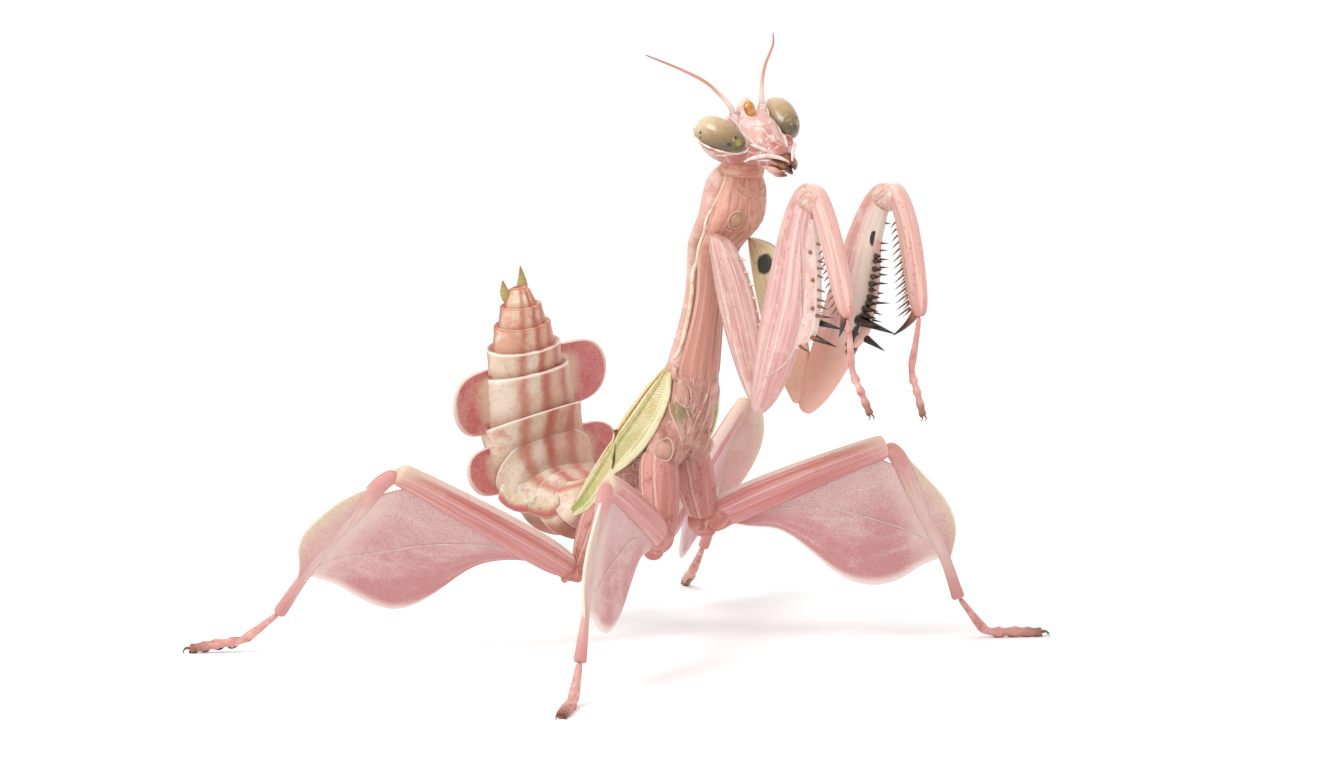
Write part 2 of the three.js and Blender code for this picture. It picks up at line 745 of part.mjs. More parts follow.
const lastRing = ringBody(ABDOMEN_RINGS.length - 1, GAP);
for (const [side, sideName] of SIDE_NAMES) {
  const root = leaned(mirrored(CERCUS.root, side));
  const tip = leaned(mirrored(CERCUS.tips.get(side), side));
  const feeler = loft(straight(root, tip, CERCUS_PROFILE), acrossAbdomen, 0, FINE_SIDES);
  addPart(`cercus_${sideName}`, feeler, STRAW, [lastRing]);
}

// ---- Walking legs ----

/** The unit direction of a leg part, from its angles forward of sideways and up. */
function legWay(side, [forward, up]) {
  const level = Math.cos(radians(up));
  const ahead = radians(forward);
  return new THREE.Vector3(side * Math.cos(ahead) * level, -Math.sin(ahead) * level, Math.sin(radians(up)));
}

for (const leg of WALKING_LEGS) {
  const { name, side, sizes } = leg;
  const legName = `${name}_${SIDE_NAMES.get(side)}`;
  const hip = point(leg.hip);
  const femurWay = legWay(side, leg.femur);
  const tibiaWay = legWay(side, leg.tibia);
  const knee = hip.clone().addScaledVector(femurWay, sizes.femur);
  const ankle = knee.clone().addScaledVector(tibiaWay, sizes.tibia);
  const heel = ankle.clone().addScaledVector(legWay(side, leg.heel), sizes.heel);
  const toe = heel.clone().addScaledVector(legWay(side, leg.toes), sizes.toes);
  const faceWay = femurWay.clone().cross(tibiaWay).normalize();
  const downWay = faceWay.clone().cross(femurWay).normalize();

  const root = mirrored(COXA_ROOT[name], side);
  const coxa = (grow = 0) => loft(straight(root, hip, COXA_PROFILES[name]), SIDEWAYS, grow);
  addPart(`${legName}_coxa`, coxa(), ROSE, [rearTrunk(GAP), ringBody(0, GAP), ...padSockets]);

  const tibiaShaft = (grow = 0) => loft(straight(knee, ankle, TIBIA_PROFILE), femurWay, grow);
  const femurShaft = (grow = 0) => loft(straight(hip, knee, FEMUR_PROFILE, downWay), downWay, grow);
  const femurPetal = plate(PETALS[name].femur, hip, femurWay, downWay);
  // The outer petal may stand at an angle to the plane of the leg, turned about the line from knee to ankle.
  const petalTurn = new THREE.Matrix4().makeRotationAxis(tibiaWay, radians(leg.petalTurn ?? 0));
  const petalFirst = femurWay.clone().transformDirection(petalTurn);
  const petalSecond = downWay.clone().transformDirection(petalTurn);
  const petalOrigin = hip.clone().sub(knee).applyMatrix4(petalTurn).add(knee);
  const tibiaPetal = plate(PETALS[name].tibia, petalOrigin, petalFirst, petalSecond);
  addPart(`${legName}_femur`, femurShaft().add(femurPetal), PETAL_PINK, [coxa(GAP), tibiaShaft(GAP)]);
  addPart(`${legName}_tibia`, tibiaShaft().add(tibiaPetal), CORAL, [femurShaft(GAP)]);

  const soles = [...straight(ankle, heel, HEEL_PROFILE), ...straight(heel, toe, TOE_PROFILE)];
  const foot = loft(soles, faceWay, 0, FINE_SIDES);
  addPart(`${legName}_foot`, foot, CORAL, [tibiaShaft(GAP), FLOOR]);
}

// ---- Forelegs ----

/** The unit direction of a foreleg part: forwards, then outwards by the first angle and up by the second. */
function forelegWay(side, [outwards, up]) {
  const turn = radians(outwards);
  const rise = radians(up);
  return new THREE.Vector3(
    side * Math.sin(turn),
    -Math.cos(rise) * Math.cos(turn),
    Math.sin(rise) * Math.cos(turn),
  );
}

/** The direction square to a leg part, within the plane the leg folds in, that points nearest to another. */
function gripWay(along, towards) {
  const square = along.clone().cross(SIDEWAYS).normalize();
  return square.multiplyScalar(Math.sign(square.dot(towards)));
}

/** A profile with each station's bow changed. */
const rebowed = (profile, change) =>
  profile.map(([share, wide, deep, bow]) => [share, wide, deep, change(bow)]);

/** A row of spikes that point one way, with their root and their length given at each share of the row. */
function spikeRow(way, rootAt, lengthAt) {
  return Array.from({ length: SPINE_COUNT }, (_, i) => {
    const share = i / (SPINE_COUNT - 1);
    const root = rootAt(share);
    return spike(root, root.clone().addScaledVector(way, lengthAt(share, i)), SPINE_ROOT);
  });
}

for (const leg of FORELEGS) {
  const { side } = leg;
  const legName = `fore_${SIDE_NAMES.get(side)}`;
  const root = point(leg.root);
  const elbow = root.clone().addScaledVector(forelegWay(side, leg.coxa), FORELEG.coxa);
  const knee = elbow.clone().addScaledVector(forelegWay(side, leg.femur), FORELEG.femur);
  const ankle = knee.clone().addScaledVector(forelegWay(side, leg.tibia), FORELEG.tibia);
  const heel = ankle.clone().addScaledVector(forelegWay(side, leg.heel), FORELEG.heel);
  const toe = heel.clone().addScaledVector(forelegWay(side, leg.toes), FORELEG.toes);
  const tibiaGrip = gripWay(forelegWay(side, leg.tibia), elbow.clone().sub(ankle));
  const femurGrip = gripWay(forelegWay(side, leg.femur), ankle.clone().sub(elbow));

  const femurProfile = rebowed(FORE_FEMUR_PROFILE, (bow) => bow + leg.femurBow);
  const tibiaProfile = rebowed(FORE_TIBIA_PROFILE, (bow) => bow * leg.tibiaBow);
  const outOfGrip = tibiaGrip.clone().negate();
  const coxa = (grow = 0) => loft(straight(root, elbow, FORE_COXA_PROFILE), SIDEWAYS, grow);
  const femur = (grow = 0) => loft(straight(elbow, knee, femurProfile, femurGrip), SIDEWAYS, grow);
  const tibia = (grow = 0) => loft(straight(knee, ankle, tibiaProfile, outOfGrip), SIDEWAYS, grow);

  const femurSpines = spikeRow(
    femurGrip,
    (share) => {
      const along = THREE.MathUtils.lerp(FEMUR_SPINES.from, FEMUR_SPINES.to, share);
      const lift = FEMUR_SPINES.lift - FEMUR_SPINES.fall * share ** 2;
      return between(elbow, knee, along).addScaledVector(femurGrip, lift);
    },
    (share, i) => (i < FEMUR_SPINES.longest && i % 2 === 0 ? FEMUR_SPINES.long : FEMUR_SPINES.short),
  );
  const tibiaSpines = spikeRow(
    tibiaGrip,
    (share) => {
      const along = THREE.MathUtils.lerp(TIBIA_SPINES.from, TIBIA_SPINES.to, share);
      const lift = TIBIA_SPINES.lift + TIBIA_SPINES.rise * share;
      return between(knee, ankle, along).addScaledVector(tibiaGrip, lift);
    },
    (share) => TIBIA_SPINES.short + TIBIA_SPINES.growth * share,
  );
  const clawTip = ankle.clone().addScaledVector(forelegWay(side, leg.tibia), CLAW.drop);
  clawTip.addScaledVector(tibiaGrip, CLAW.reach);
  const claw = spike(between(knee, ankle, CLAW.from), clawTip, CLAW.root);
  const toes = [...straight(ankle, heel, FORE_HEEL_PROFILE), ...straight(heel, toe, FORE_TOE_PROFILE)];

  addPart(`${legName}_coxa`, coxa(), PINK, [prothorax(GAP)]);
  addPart(`${legName}_femur`, join([femur(), ...femurSpines]), PINK, [coxa(GAP)]);
  addPart(`${legName}_tibia`, join([tibia(), ...tibiaSpines, claw]), PINK, [femur(GAP), ...femurSpines]);
  addPart(`${legName}_foot`, loft(toes, SIDEWAYS, 0, FINE_SIDES), CORAL, [tibia(GAP), claw]);
}

// The origin lies on the floor, under the middle of the bounding box.
const box = new THREE.Box3().setFromObject(mantis);
const middle = box.getCenter(new THREE.Vector3());
mantis.position.set(-middle.x, -middle.y, -box.min.z);

export default mantis;
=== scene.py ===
# %% [markdown]
# # A young orchid mantis at life size
# The animal stands on four walking legs, with its grasping legs folded before its chest and its abdomen
# curled up behind. Every piece below is modelled around a imported frame of solids, which gives its place and
# its size. This first cell loads that frame.

# %% Load the frame
import math
import random

import bpy
import numpy as np
from mathutils import Matrix, Quaternion, Vector


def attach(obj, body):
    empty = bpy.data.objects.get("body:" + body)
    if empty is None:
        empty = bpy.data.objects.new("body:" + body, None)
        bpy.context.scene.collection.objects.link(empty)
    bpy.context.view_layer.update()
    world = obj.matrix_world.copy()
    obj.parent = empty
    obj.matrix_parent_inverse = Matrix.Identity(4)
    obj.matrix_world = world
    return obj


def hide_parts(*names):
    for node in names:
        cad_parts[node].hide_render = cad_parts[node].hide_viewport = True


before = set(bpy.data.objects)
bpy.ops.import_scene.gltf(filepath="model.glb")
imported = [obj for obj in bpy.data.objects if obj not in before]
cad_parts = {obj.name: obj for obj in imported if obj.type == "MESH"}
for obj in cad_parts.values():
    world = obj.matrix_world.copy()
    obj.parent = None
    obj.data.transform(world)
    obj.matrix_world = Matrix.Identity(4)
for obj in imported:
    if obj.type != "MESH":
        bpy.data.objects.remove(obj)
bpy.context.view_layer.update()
print(f"the frame has {len(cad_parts)} solids")

# %% [markdown]
# ## Working in millimetres
# An insect is so small that its sizes are awkward in metres. Each piece is therefore modelled in millimetres,
# with the floor at height zero, the animal facing -Y and its left side towards +X. When it is done, it is
# scaled to metres and moved to the frame's origin in one go.

# %% Units, colours and selection
MM = 0.001
ORIGIN = Vector((0.79011, -0.5558, 0)) * MM  # the modelling origin, seen from the frame's origin
LEFT, RIGHT = 1, -1
SIDES = {RIGHT: "right", LEFT: "left"}
SIDEWAYS = Vector((1, 0, 0))


def hex_colour(code):
    """Turns a web colour such as e8b3ae into the linear colour that a shader wants."""
    channels = [int(code[i : i + 2], 16) / 255 for i in (0, 2, 4)]
    return [c / 12.92 if c <= 0.04045 else ((c + 0.055) / 1.055) ** 2.4 for c in channels] + [1]


def clear_selection():
    """Leaves edit mode and deselects every object, so that an operator acts only on the new piece."""
    if bpy.context.object and bpy.context.object.mode != "OBJECT":
        bpy.ops.object.mode_set(mode="OBJECT")
    bpy.ops.object.select_all(action="DESELECT")


def lerp(a, b, share):
    return a + (b - a) * share


clear_selection()
print(f"one millimetre is {MM} m here")

# %% [markdown]
# ## Three moves that shape every limb
# A limb starts as one small disc. The disc is extruded from station to station, and each time the new ring is
# turned and stretched to the next cross-section. These helpers wrap the turn and the stretch, because an
# operator needs its own axes and its own centre to work without a window.

# %% Axes, turning and stretching
def axes_along(along, across):
    """Axes with Z along a limb and X as close to across as it can be."""
    deep = along.cross(across).normalized()
    return Matrix((deep.cross(along).normalized(), deep, along.normalized())).transposed()


def any_axes(along):
    """Axes with Z along a direction, where the roll doesn't matter."""
    across = SIDEWAYS if abs(along.normalized().x) < 0.9 else Vector((0, 1, 0))
    return axes_along(along, across)


def turn_selected(turn, centre):
    """Turns what is selected about a point."""
    axis, angle = turn.to_axis_angle()
    if abs(angle) > 1e-6:
        bpy.ops.transform.rotate(
            value=angle,
            orient_axis="Z",
            orient_type="GLOBAL",
            orient_matrix=any_axes(axis),
            orient_matrix_type="GLOBAL",
            constraint_axis=(False, False, True),
            center_override=centre,
        )


def stretch_selected(factors, axes, centre):
    """Stretches what is selected along its own axes, about a point."""
    bpy.ops.transform.resize(
        value=factors,
        orient_type="GLOBAL",
        orient_matrix=axes,
        orient_matrix_type="GLOBAL",
        center_override=centre,
    )


def move_selected(by):
    bpy.ops.transform.translate(value=by)


def mark_place(piece, places):
    """Stores on each point where it lies on the piece, for the materials to read."""
    attribute = piece.data.attributes.new("place", "FLOAT_VECTOR", "POINT")
    attribute.data.foreach_set("vector", np.array(places, np.float32).ravel())


def finish_with(piece, kind, **settings):
    """Adds a modifier and applies it."""
    clear_selection()
    piece.select_set(True)
    bpy.context.view_layer.objects.active = piece
    modifier = piece.modifiers.new(kind.title(), kind)
    for name, value in settings.items():
        setattr(modifier, name, value)
    bpy.ops.object.modifier_apply(modifier=modifier.name)


def smooth(piece, levels):
    finish_with(piece, "SUBSURF", levels=levels, render_levels=levels)


# %% [markdown]
# ## Limbs
# A limb or a body ring is a row of oval cross-sections. Subdivision rounds it off, and it also draws the skin
# inwards, so each ring starts a little wider and ends at its true size. Every point remembers where it lies:
# how far along the limb, how far across it and how deep, which is what the colour patterns follow.

# %% The limb maker
skins = {}


def limb(name, stations, across, sides=10, levels=2, ways=None):
    """Extrudes a disc through stations of (centre, half width, half depth)."""
    centres = [at for at, _, _ in stations]
    ways = ways or [
        centres[min(i + 1, len(centres) - 1)] - centres[max(i - 1, 0)] for i in range(len(centres))
    ]
    fair = 3 / (2 + math.cos(2 * math.pi / sides))
    clear_selection()
    bpy.ops.mesh.primitive_circle_add(vertices=sides, radius=1, fill_type="NGON")
    piece = bpy.context.object
    piece.name = name
    bpy.ops.object.mode_set(mode="EDIT")
    axes = axes_along(ways[0], across)
    turn_selected(axes.to_quaternion(), Vector())
    _, wide, deep = stations[0]
    stretch_selected((wide * fair, deep * fair, 1), axes, Vector())
    move_selected(centres[0])
    for i in range(1, len(stations)):
        at, new_wide, new_deep = stations[i]
        new_axes = axes_along(ways[i], across)
        bpy.ops.mesh.extrude_region_move(TRANSFORM_OT_translate={"value": at - centres[i - 1]})
        turn_selected((new_axes @ axes.transposed()).to_quaternion(), at)
        stretch_selected((new_wide / wide, new_deep / deep, 1), new_axes, at)
        axes, wide, deep = new_axes, new_wide, new_deep
    bpy.ops.mesh.select_all(action="SELECT")
    bpy.ops.mesh.normals_make_consistent(inside=False)
    bpy.ops.object.mode_set(mode="OBJECT")
    places = []
    for vertex in piece.data.vertices:
        ring = vertex.index // sides
        at, wide, deep = stations[ring]
        local = axes_along(ways[ring], across).transposed() @ (vertex.co - at)
        places.append((ring / (len(stations) - 1), local.x / wide / fair, local.y / deep / fair))
    mark_place(piece, places)
    if levels:
        smooth(piece, levels)
    skins[name] = (stations, [axes_along(way, across) for way in ways])
    return piece


def on_skin(name, share, angle, lift=0.0):
    """A point on a limb's skin, from its share of the stations and its angle from the across axis in degrees."""
    stations, frames = skins[name]
    ring = min(max(share, 0), 1) * (len(stations) - 1)
    low = min(int(ring), len(stations) - 2)
    wide_way, deep_way = math.cos(math.radians(angle)), math.sin(math.radians(angle))
    found = []
    for i in (low, low + 1):
        at, wide, deep = stations[i]
        found.append(at + frames[i] @ Vector(((wide + lift) * wide_way, (deep + lift) * deep_way, 0)))
    return found[0].lerp(found[1], ring - low)


def straight(start, end, profile, bow_way=Vector()):
    """Stations between two points, from a profile of (share, half width, half depth, bow)."""
    return [
        (start.lerp(end, share) + bow_way * (bow[0] if bow else 0), wide, deep)
        for share, wide, deep, *bow in profile
    ]


def along_curve(points, steps):
    """Evenly spaced points on a smooth curve through the given ones."""
    knots = [Vector(p) for p in points]
    knots = [knots[0] * 2 - knots[1], *knots, knots[-1] * 2 - knots[-2]]
    dense = []
    for a, b, c, d in zip(knots, knots[1:], knots[2:], knots[3:]):
        for step in range(20):
            t = step / 20
            dense.append(
                0.5 * (2 * b + (c - a) * t + (2 * a - 5 * b + 4 * c - d) * t**2 + (3 * b - a - 3 * c + d) * t**3)
            )
    dense.append(knots[-2])
    lengths = np.cumsum([0] + [(q - p).length for p, q in zip(dense, dense[1:])])
    wanted = np.linspace(0, lengths[-1], steps)
    columns = [np.interp(wanted, lengths, [p[i] for p in dense]) for i in range(3)]
    return [Vector(p) for p in zip(*columns)]


def tube(name, points, radii, steps=12, sides=8, levels=1, flat=1.0, across=SIDEWAYS):
    """A round cord through points, with its radius given at even steps along it."""
    path = along_curve(points, steps)
    size = np.interp(np.linspace(0, 1, steps), np.linspace(0, 1, len(radii)), radii)
    return limb(name, [(at, r, r * flat) for at, r in zip(path, size)], across, sides, levels)


# %% [markdown]
# ## Leaves
# The petals, the side lobes and the wing pads are leaves. A leaf starts as a flat grid. One edge of the grid
# becomes its root and the other its rim, so each column of the grid is moved, turned and stretched to reach
# from one to the other. Rows can then be raised as veins, before the leaf gets its thickness.

# %% The leaf maker
def leaf(name, roots, rims, face, rows=8, thick=0.32, raised=None, levels=2):
    """Spans a leaf between points of its root and as many points of its rim, facing a direction."""
    columns = len(roots)
    clear_selection()
    bpy.ops.mesh.primitive_grid_add(x_subdivisions=columns - 1, y_subdivisions=rows, size=2)
    piece = bpy.context.object
    piece.name = name
    flat = [vertex.co.copy() for vertex in piece.data.vertices]
    mark_place(piece, [((co.x + 1) / 2, (co.y + 1) / 2, 0) for co in flat])
    column_of = [round((co.x + 1) / 2 * (columns - 1)) for co in flat]
    row_of = [round((co.y + 1) / 2 * rows) for co in flat]
    face = face.normalized()
    for column, (root, rim) in enumerate(zip(roots, rims)):
        reach = (rim - root) / 2
        reach -= face * reach.dot(face)
        middle = (root + rim) / 2
        start = Vector((2 * column / (columns - 1) - 1, 0, 0))
        axes = Matrix((reach.normalized(), face.cross(reach).normalized(), face)).transposed()
        upright = Matrix(((0, -1, 0), (1, 0, 0), (0, 0, 1)))
        select_points(piece, [c == column for c in column_of])
        move_selected(middle - start)
        turn_selected((axes @ upright.transposed()).to_quaternion(), middle)
        stretch_selected((max(reach.length, 0.01), 1, 1), axes, middle)
    for row, lift in enumerate(raised or []):
        if lift:
            select_points(piece, [r == row for r in row_of])
            move_selected(face * lift)
    bpy.ops.object.mode_set(mode="OBJECT")
    finish_with(piece, "SOLIDIFY", thickness=thick, offset=0)
    smooth(piece, levels)
    return piece


def select_points(piece, wanted):
    """Selects some of a mesh's points in edit mode."""
    if piece.mode == "EDIT":
        bpy.ops.object.mode_set(mode="OBJECT")
    piece.data.polygons.foreach_set("select", [False] * len(piece.data.polygons))
    piece.data.edges.foreach_set("select", [False] * len(piece.data.edges))
    piece.data.vertices.foreach_set("select", wanted)
    bpy.ops.object.mode_set(mode="EDIT")
    bpy.ops.mesh.select_mode(type="VERT")


def ball(name, centre, radii, axes=None, segments=32, rings=16):
    """A round bead, stretched to three radii along its own axes."""
    clear_selection()
    bpy.ops.mesh.primitive_uv_sphere_add(segments=segments, ring_count=rings, radius=1)
    piece = bpy.context.object
    piece.name = name
    mark_place(piece, [tuple(vertex.co) for vertex in piece.data.vertices])
    bpy.ops.object.mode_set(mode="EDIT")
    bpy.ops.mesh.select_all(action="SELECT")
    bpy.ops.transform.resize(value=radii, center_override=(0, 0, 0))
    if axes is not None:
        turn_selected(axes.to_quaternion(), Vector())
    move_selected(centre)
    bpy.ops.object.mode_set(mode="OBJECT")
    return piece


def seam_on(piece, points, radius, steps=16, sides=6):
    """A raised seam that follows the nearest points of a piece's skin."""
    found = [piece.closest_point_on_mesh(Vector(point))[1] for point in points]
    dense = [piece.closest_point_on_mesh(point)[1] for point in along_curve(found, steps)]
    return tube(f"{piece.name}_seam", dense, [radius * 0.4, radius, radius, radius, radius * 0.4], steps, sides, 1)


def joined(name, pieces):
    """Joins pieces into one."""
    clear_selection()
    for piece in pieces:
        piece.select_set(True)
    bpy.context.view_layer.objects.active = pieces[0]
    bpy.ops.object.join()
    pieces[0].name = name
    return pieces[0]


# %% [markdown]
# ## Handing a piece to the frame
# When a piece is done it is scaled from millimetres to metres, its place is written into its mesh, and it gets
# its finish. It rides on the one body of the model and stands for the solids that it covers.

# %% The hand-over
def hand_over(piece, material, slot, *nodes):
    clear_selection()
    piece.select_set(True)
    bpy.context.view_layer.objects.active = piece
    bpy.ops.object.transform_apply(location=True, rotation=True, scale=True)
    piece.data.transform(Matrix.Translation(ORIGIN) @ Matrix.Scale(MM, 4))
    bpy.ops.object.shade_smooth()
    piece.data.materials.clear()
    piece.data.materials.append(material)
    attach(piece, "root")
    if nodes:
        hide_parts(*nodes)
    print(f"{piece.name}: {len(piece.data.polygons)} faces")
    return piece

# %% [markdown]
# ## Cones and cords
# Spines and teeth are all one sharp cone. It is modelled once, and every spine is a copy of it with a
# mesh of its own, laid from its root to its tip. Veins, seams, feelers and claws are cords: a limb with a round
# section that follows a curve.

# %% Spines and cords
clear_selection()
bpy.ops.mesh.primitive_cone_add(vertices=8, radius1=1, radius2=0.05, depth=1, location=(0, 0, 0.5))
bpy.ops.object.transform_apply(location=True)
first_spine = bpy.context.object
first_spine.name = "first_spine"
bpy.ops.object.mode_set(mode="EDIT")
bpy.ops.mesh.select_all(action="SELECT")
bpy.ops.mesh.subdivide(number_cuts=1)
bpy.ops.object.mode_set(mode="OBJECT")
mark_place(first_spine, [(v.co.z, v.co.x, v.co.y) for v in first_spine.data.vertices])


def spine(root, tip, radius):
    """A copy of the first spine, laid from its root to its tip."""
    piece = first_spine.copy()
    piece.data = first_spine.data.copy()
    bpy.context.collection.objects.link(piece)
    along = tip - root
    clear_selection()
    piece.select_set(True)
    bpy.context.view_layer.objects.active = piece
    bpy.ops.object.mode_set(mode="EDIT")
    bpy.ops.mesh.select_all(action="SELECT")
    bpy.ops.transform.resize(value=(radius, radius, along.length), center_override=(0, 0, 0))
    turn_selected(any_axes(along).to_quaternion(), Vector())
    move_selected(root)
    bpy.ops.object.mode_set(mode="OBJECT")
    return piece


def hook(name, points, radius, steps=7):
    """A curved claw that ends in a point."""
    return tube(name, points, [radius, radius * 0.8, radius * 0.45, radius * 0.08], steps, 6, 1)


def seam(on, marks, radius, steps=14, lift=0.0):
    """A raised seam that follows marks of (share, angle) on a limb's skin."""
    points = [on_skin(on, share, angle, lift) for share, angle in marks]
    return tube(f"{on}_seam", points, [radius * 0.5, radius, radius, radius * 0.5], steps, 6, 1)


# %% [markdown]
# ## The head
# The head is a triangle between two bulging eyes, seen from the front. It has axes of its own, tilted and
# turned on the neck: x to the animal's left, y backwards and z up the face.

# %% Head axes
HEAD_CENTRE = Vector((-0.06, -6.74, 32.2))
HEAD_AXES = (
    Matrix.Rotation(math.radians(-4.5), 3, "Z")
    @ Matrix.Rotation(math.radians(-12.9), 3, "Y")
    @ Matrix.Rotation(math.radians(-44.2), 3, "X")
)
ACROSS_HEAD = HEAD_AXES @ SIDEWAYS


def on_head(x, y, z):
    return HEAD_CENTRE + HEAD_AXES @ Vector((x, y, z))


def head_limb(name, stations, sides=12):
    """A limb from stations of (x, y, z, half width, half depth) in the head's own axes."""
    return limb(name, [(on_head(x, y, z), w, d) for x, y, z, w, d in stations], ACROSS_HEAD, sides)


# %% [markdown]
# The shell of the head is one skin: the capsule, a cup behind each eye, the raised shield of the face, the
# clypeus below it, the cheeks and the cone between the feelers flow into each other. Each is modelled as a
# limb or a bead, and a voxel remesh melts them together, as a modeller does with clay.

# %% Head shell
shell = [
    head_limb(
        "head_shell",
        [
            (0, -0.5, -2.95, 0.45, 0.3),
            (0, -0.48, -2.8, 0.75, 0.5),
            (0, -0.38, -2.3, 1.05, 0.72),
            (0, -0.25, -1.7, 1.4, 0.85),
            (0, -0.1, -1.1, 1.75, 0.95),
            (0, 0.08, -0.3, 1.95, 1.0),
            (0, 0.12, 0.5, 1.75, 0.95),
            (0, 0.1, 1.0, 1.5, 0.8),
            (0, 0.05, 1.3, 1.1, 0.55),
            (0, 0.05, 1.45, 0.6, 0.25),
        ],
        16,
    ),
    head_limb(
        "face_shield",
        [
            (0, -0.62, 0.75, 0.6, 0.3),
            (0, -0.72, 0.6, 0.95, 0.42),
            (0, -0.8, 0.1, 1.22, 0.45),
            (0, -0.82, -0.6, 1.15, 0.45),
            (0, -0.8, -1.3, 0.95, 0.42),
            (0, -0.75, -1.75, 0.75, 0.35),
            (0, -0.7, -1.9, 0.5, 0.2),
        ],
    ),
    head_limb(
        "clypeus",
        [
            (0, -0.68, -1.85, 0.45, 0.3),
            (0, -0.74, -2.0, 0.78, 0.4),
            (0, -0.76, -2.4, 0.72, 0.42),
            (0, -0.74, -2.75, 0.62, 0.36),
            (0, -0.72, -2.9, 0.4, 0.2),
        ],
    ),
    limb(
        "brow_cone",
        straight(
            on_head(0, -0.3, 0.5),
            on_head(0.02, -1.4, 1.52),
            [(0, 0.85, 0.8), (0.3, 0.68, 0.62), (0.65, 0.52, 0.42), (0.88, 0.38, 0.3), (1.0, 0.16, 0.12)],
        ),
        ACROSS_HEAD,
        12,
    ),
]
for side in SIDES:
    upright = axes_along(HEAD_AXES @ Vector((0.28 * side, 0.2, 0.94)), ACROSS_HEAD)
    shell.append(ball("eye_cup", on_head(2.08 * side, 0.22, -0.08), (1.2, 1.12, 1.6), upright))
    shell.append(
        head_limb(
            "cheek",
            [
                (1.75 * side, 0.05, -1.2, 0.3, 0.4),
                (1.55 * side, -0.12, -1.6, 0.48, 0.55),
                (1.2 * side, -0.3, -2.1, 0.48, 0.52),
                (0.95 * side, -0.45, -2.6, 0.36, 0.42),
                (0.8 * side, -0.5, -2.95, 0.2, 0.25),
            ],
        )
    )
    shell.append(
        limb(
            "scape",
            straight(
                on_head(1.05 * side, -0.5, 0.3),
                on_head(1.18 * side, -1.1, 1.0),
                [(-0.15, 0.3, 0.3), (0.1, 0.36, 0.36), (0.45, 0.3, 0.3), (0.6, 0.27, 0.27), (0.95, 0.22, 0.22), (1.0, 0.1, 0.1)],
            ),
            ACROSS_HEAD,
            10,
        )
    )
shell = joined("head_shell", shell)
finish_with(shell, "REMESH", mode="VOXEL", voxel_size=0.075)
finish_with(shell, "SMOOTH", factor=0.6, iterations=4)

# %% [markdown]
# The eyes are eggs, broad at the top and narrower towards the mouth. A pale rim lines each one where it sits
# in its cup. The ocellus, the simple eye in the middle, is an amber bead on the front of the cone.

# %% Eyes and ocellus
EYE_CENTRES = {RIGHT: (-2.45, -0.28, 0.06), LEFT: (2.3, -0.28, -0.1)}
EGG = [
    (-1.0, 0.12), (-0.96, 0.36), (-0.85, 0.58), (-0.66, 0.8), (-0.42, 0.94), (-0.12, 1.05),
    (0.2, 1.1), (0.5, 1.04), (0.74, 0.86), (0.9, 0.6), (0.98, 0.34), (1.0, 0.12),
]
eyes, rims = {}, []
for side, side_name in SIDES.items():
    centre = on_head(*EYE_CENTRES[side])
    upright = axes_along(HEAD_AXES @ Vector((0.28 * side, 0.27, 0.92)), ACROSS_HEAD)
    pole = upright @ Vector((0, 0, 1))
    eyes[side] = limb(
        f"eye_{side_name}", [(centre + pole * (z * 1.64), r * 0.97, r * 0.97) for z, r in EGG], ACROSS_HEAD, 16
    )
    turns = [math.radians(15 * i) for i in range(25)]
    ring = []
    for turn in turns:
        z = math.cos(turn) * 1.73
        reach = np.interp(z / 1.78, [row[0] for row in EGG], [row[1] for row in EGG])
        reach = 1.06 * (0.55 + 0.45 * reach) * abs(math.sin(turn)) ** 0.9 * math.copysign(1, math.sin(turn))
        ring.append(centre + upright @ Vector((reach, 0, z)) + HEAD_AXES @ Vector((0, 0.32, 0)))
    rims.append(tube("eye_rim", ring, [0.075, 0.075], 48, 8, 1))
ocellus = limb(
    "ocellus",
    straight(
        on_head(-0.28, -1.14, 0.24),
        on_head(0.0, -1.5, 1.12),
        [(0, 0.12, 0.1), (0.1, 0.26, 0.2), (0.35, 0.36, 0.27), (0.65, 0.38, 0.28), (0.88, 0.25, 0.2), (1, 0.08, 0.08)],
    ),
    ACROSS_HEAD,
    12,
)

# %% [markdown]
# The mouth is a cluster of small hard parts: a golden lip in front, two dark jaws behind it, and jointed
# palps at each side. Pale curved ridges edge the cheeks above them.

